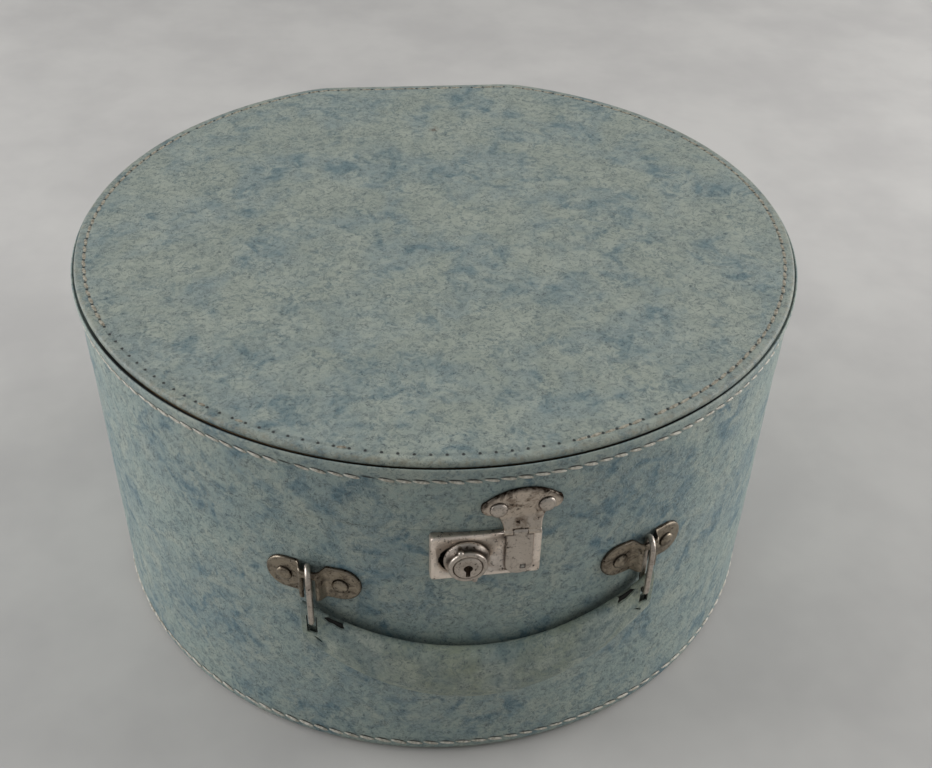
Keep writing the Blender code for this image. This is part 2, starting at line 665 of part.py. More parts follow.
def hinge_leaf(name, side, centre_x, knuckles, direction):
    """A leaf above (1) or below (-1) the axis, with knuckles as (start, end) places along X."""
    plate_y = HINGE_BACK_Y
    half = HINGE_WIDTH / 2
    z_near, z_far = SEAM_HEIGHT, SEAM_HEIGHT + direction * HINGE_LEAF_HEIGHT
    low = (centre_x - half, plate_y, min(z_near, z_far))
    high = (centre_x + half, plate_y + HINGE_LEAF_THICKNESS, max(z_near, z_far))
    leaf = add_part(f"{name}_{side}", block(low, high), NICKEL)
    leaf.matrix_world = TURNED_BACK
    reach = HINGE_KNUCKLE_RADIUS + KNUCKLE_GAP
    for index, (start, end) in enumerate(knuckles):
        if end - start > 0:
            roll = rod(HINGE_KNUCKLE_RADIUS, end - start, KNUCKLE_STEPS)
            place = along_x(centre_x + (start + end) / 2, HINGE_AXIS_Y, SEAM_HEIGHT)
            combine(leaf, add_hinge_cutter(f"{name}_{side}_roll_{index}", roll, place), "UNION")
    for index, (start, end) in enumerate(free_stretches(knuckles, half)):
        low = (centre_x + start, plate_y - OVERRUN, SEAM_HEIGHT - reach)
        high = (centre_x + end, HINGE_AXIS_Y + reach, SEAM_HEIGHT + reach)
        combine(leaf, add_hinge_cutter(f"{name}_{side}_free_{index}", block(low, high)))
    bore = rod(HINGE_PIN_RADIUS + HINGE_PIN_CLEARANCE, HINGE_WIDTH + 2 * OVERRUN, KNUCKLE_STEPS)
    bore_place = along_x(centre_x, HINGE_AXIS_Y, SEAM_HEIGHT)
    combine(leaf, add_hinge_cutter(f"{name}_{side}_bore", bore, bore_place))
    holes = joined([
        (rivet_hole_mesh(2 * OVERRUN + HINGE_LEAF_THICKNESS), hinge_rivet_place(x, direction, 0.0))
        for x in hinge_rivet_places(centre_x)
    ])
    combine(leaf, add_hinge_cutter(f"{name}_{side}_holes", holes))
    return leaf


def add_hinge_cutter(name, mesh, matrix=None):
    """A cutter that is turned with the flat back as an object, like the leaf that it cuts."""
    cutter = add_cutter(name, mesh, matrix)
    cutter.matrix_world = TURNED_BACK
    return cutter


def free_stretches(knuckles, half):
    """The stretches of a hinge's width that its own knuckles leave to the other leaf."""
    stretches = []
    start = -half - OVERRUN
    for knuckle_start, knuckle_end in knuckles:
        stretches.append((start, knuckle_start))
        start = knuckle_end
    stretches.append((start, half + OVERRUN))
    return [(low, high) for low, high in stretches if high - low > OVERRUN + KNUCKLE_GAP]


def hinge_rivet_places(centre_x):
    return centre_x - HINGE_RIVET_SPACING / 2, centre_x + HINGE_RIVET_SPACING / 2


def hinge_rivet_place(x, direction, out):
    """Local +Z points out of the unturned flat back, from the leaf's outer face plus a distance."""
    y = HINGE_BACK_Y + HINGE_LEAF_THICKNESS + out
    z = SEAM_HEIGHT + direction * HINGE_RIVET_HEIGHT
    return Matrix.Translation((x, y, z)) @ Matrix.Rotation(-math.pi / 2, 4, "X")


def build_hinges(body_layers, lid_layers):
    third = HINGE_WIDTH / 3
    gap = KNUCKLE_GAP / 2
    half = HINGE_WIDTH / 2
    outer = ((-half, -third / 2 - gap), (third / 2 + gap, half))
    middle = ((-third / 2 + gap, third / 2 - gap),)
    rivet_x = []
    on_lid = []
    for side, sign in (("left", -1), ("right", 1)):
        centre_x = sign * HINGE_SPACING / 2
        hinge_leaf("hinge_body_leaf", side, centre_x, outer, -1)
        on_lid.append(hinge_leaf("hinge_lid_leaf", side, centre_x, middle, 1))
        pin = rod(HINGE_PIN_RADIUS, HINGE_WIDTH, KNUCKLE_STEPS)
        pin_place = TURNED_BACK @ along_x(centre_x, HINGE_AXIS_Y, SEAM_HEIGHT)
        add_part(f"hinge_pin_{side}", pin, STEEL, pin_place)
        rivet_x += hinge_rivet_places(centre_x)
    stack = TOUCH_GAP + HINGE_LEAF_THICKNESS + TOUCH_GAP
    body_places = [TURNED_BACK @ hinge_rivet_place(x, -1, TOUCH_GAP) for x in rivet_x]
    body_names = [f"hinge_rivet_body_{index + 1}" for index in range(len(rivet_x))]
    body_stack = stack + SEAM_STEP + COLLAR_INNER_INSET + TOUCH_GAP
    add_rivets(body_names, body_stack, body_places, body_layers)
    lid_places = [TURNED_BACK @ hinge_rivet_place(x, 1, TOUCH_GAP) for x in rivet_x]
    lid_names = [f"hinge_rivet_lid_{index + 1}" for index in range(len(rivet_x))]
    return on_lid + add_rivets(lid_names, stack + WALL_INSET + TOUCH_GAP, lid_places, lid_layers)


def lock_cover_cut():
    """The drum's own round, a little larger, that a plate's back edges follow."""
    mesh = flat_solid(drum_outline(BODY_INSET - TOUCH_GAP), LOCK_HEIGHT + 2 * OVERRUN)
    place = Matrix.Translation((0.0, 0.0, LOCK_TOP - LOCK_HEIGHT - OVERRUN))
    return add_cutter("drum_round", mesh, place)


def build_lock(cover, board, collar):
    depth = LOCK_STAND_OFF + BODY_RADIUS - math.sqrt(BODY_RADIUS ** 2 - LOCK_LEFT ** 2)
    front = facing_out(0.0, LOCK_SHIFT, LOCK_FACE - depth, LOCK_MIDDLE)
    plate_mesh = flat_solid(rounded_rectangle(LOCK_WIDTH, LOCK_HEIGHT, LOCK_CORNER_RADIUS), depth)
    plate = add_part("lock_plate", plate_mesh, NICKEL, front)
    round_edges(plate, LOCK_EDGE_ROUND)
    inner_width, inner_height = LOCK_WIDTH - 2 * LOCK_SHEET, LOCK_HEIGHT - 2 * LOCK_SHEET
    tray = block(
        (LOCK_SHIFT - inner_width / 2, -LOCK_BACK, LOCK_MIDDLE - inner_height / 2),
        (LOCK_SHIFT + inner_width / 2, -LOCK_BACK + depth + OVERRUN, LOCK_MIDDLE + inner_height / 2),
    )
    combine(plate, add_cutter("lock_tray", tray))
    combine(plate, lock_cover_cut())

    slot_radius = BARREL_SHANK_RADIUS + SLOT_CLEARANCE
    quarter = math.pi / 2
    slot = arc(BARREL_OFFSET, 0.0, slot_radius, -quarter, quarter, SLOT_STEPS)
    slot += arc(BARREL_OFFSET - BARREL_TRAVEL, 0.0, slot_radius, quarter, 3 * quarter, SLOT_STEPS)
    slot_mesh = flat_solid(slot, LOCK_SHEET + 2 * OVERRUN)
    slot_place = facing_out(0.0, 0.0, LOCK_BACK - OVERRUN, LOCK_MIDDLE)
    combine(plate, add_cutter("barrel_slot", slot_mesh, slot_place))
    hook_x = HASP_OFFSET + HOOK_OFFSET
    hook_half = HOOK_WIDTH / 2 + SLOT_CLEARANCE
    hook_slot = block(
        (hook_x - hook_half, -LOCK_FACE - OVERRUN, HOOK_MIDDLE_Z - HOOK_HEIGHT / 2 - HOOK_SWING_CLEARANCE),
        (hook_x + hook_half, -BODY_RADIUS + OVERRUN, LOCK_TOP + OVERRUN),
    )
    combine(plate, add_cutter("hook_slot", hook_slot))

    build_lock_case(cover, board, collar)
    return build_latch()


def build_latch():
    collar_height = BARREL_HEIGHT
    bore = CYLINDER_RADIUS + CYLINDER_CLEARANCE
    shank_foot = -(BARREL_FOOT - SLIDER_FACE - TOUCH_GAP)
    neck_height = collar_height * BARREL_NECK_SHARE
    barrel_profile = [
        (bore, collar_height), (BARREL_COLLAR_RADIUS - EDGE_ROUND, collar_height),
        (BARREL_COLLAR_RADIUS, collar_height - EDGE_ROUND), (BARREL_COLLAR_RADIUS, neck_height),
        (BARREL_BASE_RADIUS - EDGE_ROUND, BARREL_BASE_LIP), (BARREL_BASE_RADIUS, BARREL_BASE_LIP / 2),
        (BARREL_BASE_RADIUS, 0.0), (BARREL_SHANK_RADIUS, 0.0), (BARREL_SHANK_RADIUS, shank_foot),
        (bore, shank_foot),
    ]
    place = facing_out(0.0, BARREL_OFFSET, BARREL_FOOT, LOCK_MIDDLE)
    barrel = add_part("latch_barrel", turned(barrel_profile, BARREL_STEPS, closed=True), NICKEL, place)
    rib_length = collar_height - BARREL_BASE_LIP / 2
    rib_middle = (BARREL_BASE_LIP + rib_length) / 2 - EDGE_ROUND / 2
    for index, angle in enumerate((BARREL_RIB_ANGLE, BARREL_RIB_ANGLE + math.pi)):
        rib_radius = BARREL_COLLAR_RADIUS + BARREL_RIB_RADIUS / 4
        rib = rod(BARREL_RIB_RADIUS, rib_length, RIB_STEPS)
        rib_x, rib_y = rib_radius * math.cos(angle), rib_radius * math.sin(angle)
        rib.transform(Matrix.Translation((rib_x, rib_y, rib_middle)))
        combine(barrel, add_cutter(f"barrel_rib_{index}", rib, place), "UNION")

    length = CYLINDER_TAIL + BARREL_FOOT - SLIDER_BACK + collar_height + CYLINDER_PROUD
    back = SLIDER_BACK - CYLINDER_TAIL
    cylinder_profile = [
        (0.0, length), (CYLINDER_RADIUS - EDGE_ROUND, length), (CYLINDER_RADIUS, length - EDGE_ROUND),
        (CYLINDER_RADIUS, 0.0), (0.0, 0.0),
    ]
    cylinder_place = facing_out(0.0, BARREL_OFFSET, back, LOCK_MIDDLE)
    cylinder = add_part("key_cylinder", turned(cylinder_profile, BARREL_STEPS), NICKEL, cylinder_place)
    half = KEYHOLE_SLOT_WIDTH / 2
    meet = math.asin(half / KEYHOLE_RADIUS)
    down = -math.pi / 2
    keyhole = arc(0.0, 0.0, KEYHOLE_RADIUS, down + meet, down + 2 * math.pi - meet, KEYHOLE_STEPS)
    keyhole += [(-half, -KEYHOLE_SLOT_LENGTH), (half, -KEYHOLE_SLOT_LENGTH)]
    key_place = facing_out(0.0, BARREL_OFFSET, back + length - KEYHOLE_DEPTH, LOCK_MIDDLE)
    keyhole_mesh = flat_solid(keyhole, KEYHOLE_DEPTH + OVERRUN)
    combine(cylinder, add_cutter("keyhole", keyhole_mesh, key_place))

    cam = arc(0.0, 0.0, CAM_WIDTH / 2, math.pi, 2 * math.pi, CAM_STEPS)
    cam += [(CAM_WIDTH / 2, CAM_LENGTH), (-CAM_WIDTH / 2, CAM_LENGTH)]
    cam_out = back - TOUCH_GAP - CAM_THICKNESS
    cam_place = facing_out(0.0, BARREL_OFFSET, cam_out, LOCK_MIDDLE)
    cam_part = add_part("lock_cam", flat_solid(cam, CAM_THICKNESS), STEEL, cam_place)

    half = SLIDER_SIZE / 2
    nose_x = HASP_OFFSET + HOOK_OFFSET - HOOK_WIDTH / 2 - NOSE_CLEARANCE - BARREL_OFFSET
    arm_top = -half + SLIDER_ARM_HEIGHT
    bevel = SLIDER_ARM_HEIGHT * (1 - NOSE_SHARE)
    slider = [
        (half, half), (-half, half), (-half, -half), (nose_x, -half),
        (nose_x, arm_top - bevel), (nose_x - bevel, arm_top), (half, arm_top),
    ]
    bore_hole = circle(0.0, 0.0, CYLINDER_RADIUS + CYLINDER_CLEARANCE, BARREL_STEPS)
    slider_mesh = flat_solid(slider, SLIDER_THICKNESS, [bore_hole])
    slider_place = facing_out(0.0, BARREL_OFFSET, SLIDER_BACK, LOCK_MIDDLE)
    slider_part = add_part("latch_slider", slider_mesh, STEEL, slider_place)
    build_spring(half)
    return [barrel, slider_part], [cylinder, cam_part]


def build_spring(slider_half):
    """Bowed leaf spring between the plate's left edge and the slider, drawn as the open latch presses it."""
    spring_left = LOCK_LEFT + LOCK_SHEET + TOUCH_GAP
    spring_right = BARREL_OFFSET - BARREL_TRAVEL - slider_half - TOUCH_GAP
    bow = spring_right - spring_left - SPRING_SHEET
    outer, inner = [], []
    for index in range(SPRING_STEPS + 1):
        share = index / SPRING_STEPS
        x = bow * (2 * share - 1) ** 2
        z = SPRING_HEIGHT * (share - 0.5)
        outer.append((spring_left + x, z))
        inner.append((spring_left + x + SPRING_SHEET, z))
    spring = flat_solid(outer + inner[::-1], SLIDER_THICKNESS)
    add_part("latch_spring", spring, STEEL, facing_out(0.0, 0.0, SLIDER_BACK, LOCK_MIDDLE))


def build_lock_case(cover, board, collar):
    inner_left = BARREL_OFFSET - CYLINDER_RADIUS - BARREL_TRAVEL - CASE_SIDE_CLEARANCE
    inner_right = BARREL_OFFSET + CAM_LENGTH + CASE_SIDE_CLEARANCE
    front_out = LOCK_BACK - TOUCH_GAP
    side_out = BODY_RADIUS - TOUCH_GAP
    back_out = SLIDER_BACK - CYLINDER_TAIL - CAM_THICKNESS - 2 * TOUCH_GAP - CASE_SHEET
    half = CASE_HEIGHT / 2
    case = add_part("lock_case", block(
        (inner_left - CASE_SHEET, -front_out, LOCK_MIDDLE - half),
        (inner_right + CASE_SHEET, -back_out, LOCK_MIDDLE + half),
    ), STEEL)
    hollow = block(
        (inner_left, -front_out - OVERRUN, LOCK_MIDDLE - half + CASE_SHEET),
        (inner_right, -back_out - CASE_SHEET, LOCK_MIDDLE + half - CASE_SHEET),
    )
    combine(case, add_cutter("lock_case_hollow", hollow))
    sides = block(
        (inner_left - CASE_SHEET - OVERRUN, -front_out - OVERRUN, LOCK_MIDDLE - half + CASE_SHEET),
        (inner_right + CASE_SHEET + OVERRUN, -side_out, LOCK_MIDDLE + half - CASE_SHEET),
    )
    combine(case, add_cutter("lock_case_sides", sides))
    margin = CASE_SHEET + CASE_WINDOW_CLEARANCE
    window = add_cutter("lock_window", block(
        (inner_left - margin, -BODY_RADIUS - OVERRUN, LOCK_MIDDLE - half - CASE_WINDOW_CLEARANCE),
        (inner_right + margin, -back_out + OVERRUN, LOCK_MIDDLE + half + CASE_WINDOW_CLEARANCE),
    ))
    for layer in (cover, board, collar):
        combine(layer, window)


def hasp_outline():
    """The fan-shaped plate and its neck, in (x, height above the seam) from its middle, anticlockwise."""
    arc_centre = HASP_TOP - HASP_ARC_RADIUS
    tip_x = HASP_WIDTH / 2 - HASP_TIP_RADIUS
    tip_angle = math.atan2(HASP_TIP_HEIGHT - arc_centre, tip_x)
    half = [
        (HASP_NECK_WIDTH / 2, HASP_AXIS_HEIGHT),
        (HASP_NECK_WIDTH / 2, HASP_AXIS_HEIGHT + HASP_KNUCKLE_RADIUS),
        (HASP_NECK_TOP_WIDTH / 2, HASP_NECK_TOP_HEIGHT),
    ]
    half += arc(tip_x, HASP_TIP_HEIGHT, HASP_TIP_RADIUS, -math.pi / 2, tip_angle, FAN_TIP_STEPS)
    half += arc(0.0, arc_centre, HASP_ARC_RADIUS, tip_angle, math.pi / 2, FAN_TOP_STEPS)[1:]
    mirrored = [(-x, y) for x, y in reversed(half[:-1])]
    return half + mirrored


def neck_mesh():
    """The cranked neck that carries the plate out to its hinge, as a slice (x is down, y is back)."""
    top_z = HASP_AXIS_Z + HASP_NECK_TOP_HEIGHT - HASP_AXIS_HEIGHT
    x = HASP_MIDDLE + HASP_NECK_WIDTH / 2
    plate_out = math.sqrt((LID_RADIUS + TOUCH_GAP) ** 2 - x ** 2)
    slice_points = [
        (-HASP_AXIS_Z, -HASP_AXIS_OUT + HASP_KNUCKLE_RADIUS),
        (-HASP_AXIS_Z, -HASP_AXIS_OUT - HASP_KNUCKLE_RADIUS),
        (-top_z, -plate_out - HASP_SHEET),
        (-top_z, -plate_out - HASP_SHEET / 2),
    ]
    return flat_solid(slice_points, HASP_NECK_WIDTH)


def build_hasp(rim_cover, rim_board):
    rivet_x = (HASP_MIDDLE - HASP_RIVET_SPACING / 2, HASP_MIDDLE + HASP_RIVET_SPACING / 2)
    hole_radius = RIVET_SHANK_RADIUS + RIVET_HOLE_CLEARANCE
    holes = [circle(x, HASP_RIVET_HEIGHT, hole_radius, RIVET_STEPS) for x in rivet_x]
    outline = [(HASP_MIDDLE + x, height) for x, height in hasp_outline()]
    plate_mesh = flat_solid(outline, HASP_SHEET, holes)
    places = [HASP_MIDDLE + HASP_WIDTH / FAN_BEND_STEPS * index for index in (-2, -1, 1, 2)]
    sliced_along_x(plate_mesh, places)
    plate_mesh.transform(Matrix.Translation((0.0, 0.0, TOUCH_GAP)))
    plate = add_part("hasp_plate", closed_mesh(wrapped(plate_mesh, LID_RADIUS, 0.0, SEAM_HEIGHT)), NICKEL)

    knuckle = TONGUE_WIDTH / 4
    half = HASP_NECK_WIDTH / 2
    axis = (HASP_AXIS_OUT, HASP_AXIS_Z)
    free = knuckle + KNUCKLE_GAP
    left = (HASP_MIDDLE - half, HASP_OFFSET - free)
    right = (HASP_OFFSET + free, HASP_MIDDLE + half)
    for side, (start, end) in (("left", left), ("right", right)):
        roll = rod(HASP_KNUCKLE_RADIUS, end - start, KNUCKLE_STEPS)
        place = along_x((start + end) / 2, -axis[0], axis[1])
        combine(plate, add_cutter(f"hasp_roll_{side}", roll, place), "UNION")
    combine(plate, add_cutter("hasp_neck", neck_mesh(), along_x(HASP_MIDDLE - half, 0.0, 0.0)), "UNION")
    reach = HASP_KNUCKLE_RADIUS + KNUCKLE_GAP
    gap = block(
        (HASP_OFFSET - free, -axis[0] - reach, axis[1] - reach),
        (HASP_OFFSET + free, -axis[0] + reach + OVERRUN, axis[1] + reach),
    )
    combine(plate, add_cutter("hasp_gap", gap))
    bore_mesh = rod(HASP_PIN_RADIUS + HASP_PIN_CLEARANCE, HASP_NECK_WIDTH + 2 * OVERRUN, KNUCKLE_STEPS)
    bore = add_cutter("hasp_bore", bore_mesh, along_x(HASP_MIDDLE, -axis[0], axis[1]))
    combine(plate, bore)
    pin = rod(HASP_PIN_RADIUS, HASP_NECK_WIDTH, KNUCKLE_STEPS)
    pin_part = add_part("hasp_pin", pin, STEEL, along_x(HASP_MIDDLE, -axis[0], axis[1]))

    places = []
    for x in rivet_x:
        out = LID_RADIUS + HASP_SHEET + 2 * TOUCH_GAP
        places.append(facing_out(x / LID_RADIUS, 0.0, out, SEAM_HEIGHT + HASP_RIVET_HEIGHT))
    grip = HASP_SHEET + WALL_INSET + 3 * TOUCH_GAP
    rivets = add_rivets(("hasp_rivet_left", "hasp_rivet_right"), grip, places, (rim_cover, rim_board))
    return [plate, pin_part] + rivets, build_tongue(knuckle, bore)


def build_tongue(knuckle, bore):
    """The hinged tongue, its knuckle and the hook that it carries on a square shank."""
    half = TONGUE_WIDTH / 2
    shoulder = -HASP_KNUCKLE_RADIUS - KNUCKLE_GAP
    hook_z = HOOK_MIDDLE_Z - HASP_AXIS_Z
    outline = arc(0.0, -TONGUE_LENGTH + half, half, math.pi, 2 * math.pi, TONGUE_STEPS)
    outline += [(half, shoulder), (knuckle, shoulder), (knuckle, 0.0), (-knuckle, 0.0), (-knuckle, shoulder)]
    outline += [(-half, shoulder)]
    shank = HOOK_SHANK / 2 + TOUCH_GAP
    square = [
        (HOOK_OFFSET - shank, hook_z - shank), (HOOK_OFFSET + shank, hook_z - shank),
        (HOOK_OFFSET + shank, hook_z + shank), (HOOK_OFFSET - shank, hook_z + shank),
    ]
    place = facing_out(0.0, HASP_OFFSET, TONGUE_BACK, HASP_AXIS_Z)
    tongue = add_part("hasp_tongue", flat_solid(outline, TONGUE_SHEET, [square]), NICKEL, place)
    roll = rod(HASP_KNUCKLE_RADIUS, 2 * knuckle, KNUCKLE_STEPS)
    roll_place = along_x(HASP_OFFSET, -HASP_AXIS_OUT, HASP_AXIS_Z)
    combine(tongue, add_cutter("tongue_roll", roll, roll_place), "UNION")
    combine(tongue, bore)

    hook_x = HASP_OFFSET + HOOK_OFFSET
    wall = math.sqrt(BODY_RADIUS ** 2 - hook_x ** 2)
    inner = wall + HOOK_WALL_CLEARANCE
    half_width, half_height = HOOK_WIDTH / 2, HOOK_HEIGHT / 2
    outer = TONGUE_BACK - TOUCH_GAP
    hook = add_part("hasp_hook", block(
        (hook_x - half_width, -outer, HOOK_MIDDLE_Z - half_height),
        (hook_x + half_width, -inner, HOOK_MIDDLE_Z + half_height),
    ), STEEL)
    shank_half = HOOK_SHANK / 2
    shank_block = block(
        (hook_x - shank_half, -TONGUE_BACK - TONGUE_SHEET, HOOK_MIDDLE_Z - shank_half),
        (hook_x + shank_half, -outer + LOCK_SHEET / 2, HOOK_MIDDLE_Z + shank_half),
    )
    combine(hook, add_cutter("hook_shank", shank_block), "UNION")
    notch_reach = half_height + OVERRUN
    notch = block(
        (hook_x - half_width - OVERRUN, -SLIDER_FACE - TOUCH_GAP, HOOK_MIDDLE_Z - notch_reach),
        (hook_x - half_width + HOOK_NOTCH_DEPTH, -SLIDER_BACK + TOUCH_GAP, HOOK_MIDDLE_Z + notch_reach),
    )
    combine(hook, add_cutter("hook_notch", notch))
    return [tongue, hook]


def bracket_half_height(x):
    """The plate narrows a little at its bridge."""
    waist = min(abs(x) / (BRIDGE_FLAT / 2 + BRIDGE_RAMP), 1.0)
    return BRACKET_WAIST / 2 + (BRACKET_WIDTH - BRACKET_WAIST) / 2 * eased(waist)


def bracket_outline():
    """Round-ended plate with a slot that runs up from its lower edge to the bar of the bridge."""
    lobe = BRACKET_WIDTH / 2
    lobe_x = BRACKET_LENGTH / 2 - lobe
    quarter = math.pi / 2
    edge = [lobe_x * (1 - 2 * step / BRACKET_EDGE_STEPS) for step in range(1, BRACKET_EDGE_STEPS)]
    slot = BRIDGE_SLOT_WIDTH / 2
    bar = BRACKET_WAIST / 2 - BRIDGE_BAR_HEIGHT
    points = arc(lobe_x, 0.0, lobe, -quarter, quarter, LOBE_STEPS)
    points += [(x, bracket_half_height(x)) for x in edge]
    points += arc(-lobe_x, 0.0, lobe, quarter, 3 * quarter, LOBE_STEPS)
    points += [(-x, -bracket_half_height(x)) for x in edge if x > slot]
    slot_low = -bracket_half_height(slot)
    points += [(-slot, slot_low), (-slot, bar), (slot, bar), (slot, slot_low)]
    points += [(-x, -bracket_half_height(x)) for x in edge if x < -slot]
    return points


def bridge_rise(x):
    reach = (abs(x) - BRIDGE_FLAT / 2) / BRIDGE_RAMP
    reach = min(max(reach, 0.0), 1.0)
    return BRIDGE_RISE * (1 - eased(reach))


def build_brackets(cover, board):
    rivet_x = BRACKET_LENGTH / 2 - BRACKET_WIDTH / 2
    hole_radius = RIVET_SHANK_RADIUS + RIVET_HOLE_CLEARANCE
    holes = [circle(sign * rivet_x, 0.0, hole_radius, RIVET_STEPS) for sign in (-1, 1)]
    places = [BRIDGE_FLAT / 2 + BRIDGE_RAMP * step / RAMP_STEPS for step in range(RAMP_STEPS + 1)]
    places.append(rivet_x)
    rivet_places = []
    for side, sign in (("left", -1), ("right", 1)):
        mesh = flat_solid(bracket_outline(), BRACKET_SHEET, holes)
        sliced_along_x(mesh, [flip * place for place in places for flip in (-1, 1)])
        for vertex in mesh.vertices:
            vertex.co.z += TOUCH_GAP + bridge_rise(vertex.co.x)
        angle = sign * BRACKET_ANGLE
        wrapped(mesh, BODY_RADIUS, angle, BRACKET_HEIGHT)
        add_part(f"handle_bracket_{side}", closed_mesh(mesh), NICKEL)
        for x in (-rivet_x, rivet_x):
            out = BODY_RADIUS + BRACKET_SHEET + 2 * TOUCH_GAP
            rivet_places.append(facing_out(angle + x / BODY_RADIUS, 0.0, out, BRACKET_HEIGHT))
    names = [f"bracket_rivet_{index + 1}" for index in range(len(rivet_places))]
    add_rivets(names, BRACKET_SHEET + WALL_INSET + 3 * TOUCH_GAP, rivet_places, (cover, board))


def build_links():
    """Closed wire links, each hung on its bracket's bar and passed through the handle's end."""
    radius = LINK_WIDTH / 2
    top, bottom = BAR_MIDDLE_Z, LINK_BOTTOM_HEIGHT + radius
    loop = arc(0.0, top, radius, 0.0, math.pi, LINK_BEND_STEPS)
    loop += arc(0.0, bottom, radius, math.pi, 2 * math.pi, LINK_BEND_STEPS)
    links = []
    for side, sign in (("left", -1), ("right", 1)):
        curve = bpy.data.curves.new(f"handle_link_{side}", "CURVE")
        curve.dimensions = "3D"
        curve.bevel_depth = LINK_WIRE_RADIUS
        curve.bevel_resolution = LINK_WIRE_RESOLUTION
        points = [(sign * LINK_X, HANDLE_AXIS_Y + across, height) for across, height in loop]
        add_spline(curve, points)
        links.append(add_part(f"handle_link_{side}", mesh_from_curve(curve), NICKEL))
    return links


def handle_place(share):
    """Half thickness, distance out, lower edge and upper edge of the handle at a share of its half span."""
    fade = max(0.0, 1 - (share / HANDLE_FLAT_END_SHARE) ** 2) ** HANDLE_TAPER_POWER
    half = HANDLE_END_THICKNESS / 2 + (HANDLE_THICKNESS - HANDLE_END_THICKNESS) / 2 * fade
    middle_out = BODY_RADIUS + HANDLE_WALL_GAP + HANDLE_THICKNESS / 2
    to_link = min(abs(share) * HANDLE_END_ANGLE / BRACKET_ANGLE, 1.0)
    out = middle_out + (BRIDGE_MIDDLE_OUT - middle_out) * to_link ** 2
    low = HANDLE_MIDDLE_BOTTOM + (HANDLE_END_BOTTOM - HANDLE_MIDDLE_BOTTOM) * share ** 2
    high = HANDLE_MIDDLE_TOP + (HANDLE_END_TOP - HANDLE_MIDDLE_TOP) * share ** 2
    return half, out, low, high


def handle_point(inset, share, turn):
    """A point of the handle's skin, taken in by an inset, at a share of the half span and a turn."""
    half, out, low, high = handle_place(share)
    across = math.copysign(abs(math.cos(turn)) ** HANDLE_SQUARENESS, math.cos(turn))
    up = math.copysign(abs(math.sin(turn)) ** HANDLE_SQUARENESS, math.sin(turn))
    distance = out + (half - inset) * across
    height = (low + high) / 2 + ((high - low) / 2 - inset) * up
    angle = share * HANDLE_END_ANGLE
    return distance * math.sin(angle), -distance * math.cos(angle), height


def bent_grid(places, sides, point):
    """A grid with one row per place, bent into a tube, its seam welded and its open ends closed."""
    work = bmesh.new()
    bmesh.ops.create_grid(work, x_segments=len(places) - 1, y_segments=sides, size=1.0)
    for vertex in work.verts:
        row = round((vertex.co.x + 1) / 2 * (len(places) - 1))
        turn = math.pi * (vertex.co.y + 1)
        vertex.co = point(places[row], turn)
    bmesh.ops.remove_doubles(work, verts=work.verts, dist=MM / 1000)
    bmesh.ops.holes_fill(work, edges=work.edges, sides=sides)
    mesh = bpy.data.meshes.new("tube")
    work.to_mesh(mesh)
    work.free()
    return closed_mesh(mesh)


def build_handle():
    """Padded leatherette cover, open at its ends, over a fibre core; the links pass through both."""
    shares = [2 * station / HANDLE_STATIONS - 1 for station in range(HANDLE_STATIONS + 1)]
    places = [(0.0, share) for share in shares] + [(HANDLE_COVER, share) for share in reversed(shares)]
    places.append(places[0])
    cover_mesh = bent_grid(places, HANDLE_SIDES, lambda place, turn: handle_point(*place, turn))
    cover = add_part("handle_cover", cover_mesh, HANDLE_LEATHERETTE)
    core_inset = HANDLE_COVER + TOUCH_GAP
    core_mesh = bent_grid(shares, HANDLE_SIDES, lambda share, turn: handle_point(core_inset, share, turn))
    core = add_part("handle_core", core_mesh, FIBRE)

    half = HANDLE_HOLE_WIDTH / 2
    holes = []
    for x in (-LINK_X, LINK_X):
        low = (x - half, HANDLE_AXIS_Y - HANDLE_THICKNESS, HANDLE_HOLE_BOTTOM)
        high = (x + half, HANDLE_AXIS_Y + HANDLE_THICKNESS, HANDLE_HOLE_TOP)
        holes.append((block(low, high), Matrix.Identity(4)))
    cutter = add_cutter("handle_holes", joined(holes))
    combine(cover, cutter)
    combine(core, cutter)
    return [cover, core]


def hang_on_axis(name, place, parts, parent=None):
    """An empty on a joint's axis that carries the pieces which move about it."""
    axis = bpy.data.objects.new(name, None)
    axis.empty_display_size = LOCK_HEIGHT / 2
    axis.location = place
    PARTS.objects.link(axis)
    bpy.context.view_layer.update()
    for part in parts:
        part.parent = axis
        part.matrix_parent_inverse = axis.matrix_world.inverted()
    if parent is not None:
        axis.parent = parent
        axis.matrix_parent_inverse = parent.matrix_world.inverted()
    return axis


clear_scene()
PARTS = new_collection("hat_box")
CUTTERS = new_collection("cutters")
wall_cover, wall_board, wall_collar = build_body()
lid_parts = build_lid()
lid_cover, lid_board = lid_parts[:2]
lid_parts += build_hinges((wall_cover, wall_board, wall_collar), (lid_cover, lid_board))
latch_parts, key_parts = build_lock(wall_cover, wall_board, wall_collar)
hasp_parts, tongue_parts = build_hasp(lid_cover, lid_board)
build_brackets(wall_cover, wall_board)
handle_parts = build_links() + build_handle()

lid_place = TURNED_BACK @ Vector((0.0, HINGE_AXIS_Y, SEAM_HEIGHT))
lid_axis = hang_on_axis("lid_axis", lid_place, lid_parts + hasp_parts)
hang_on_axis("tongue_axis", (HASP_OFFSET, -HASP_AXIS_OUT, HASP_AXIS_Z), tongue_parts, lid_axis)
barrel_axis = hang_on_axis("latch_axis", (BARREL_OFFSET, -LOCK_FACE, LOCK_MIDDLE), latch_parts)
hang_on_axis("key_axis", (BARREL_OFFSET, -LOCK_FACE, LOCK_MIDDLE), key_parts, barrel_axis)
hang_on_axis("handle_axis", (0.0, HANDLE_AXIS_Y, BAR_MIDDLE_Z), handle_parts)
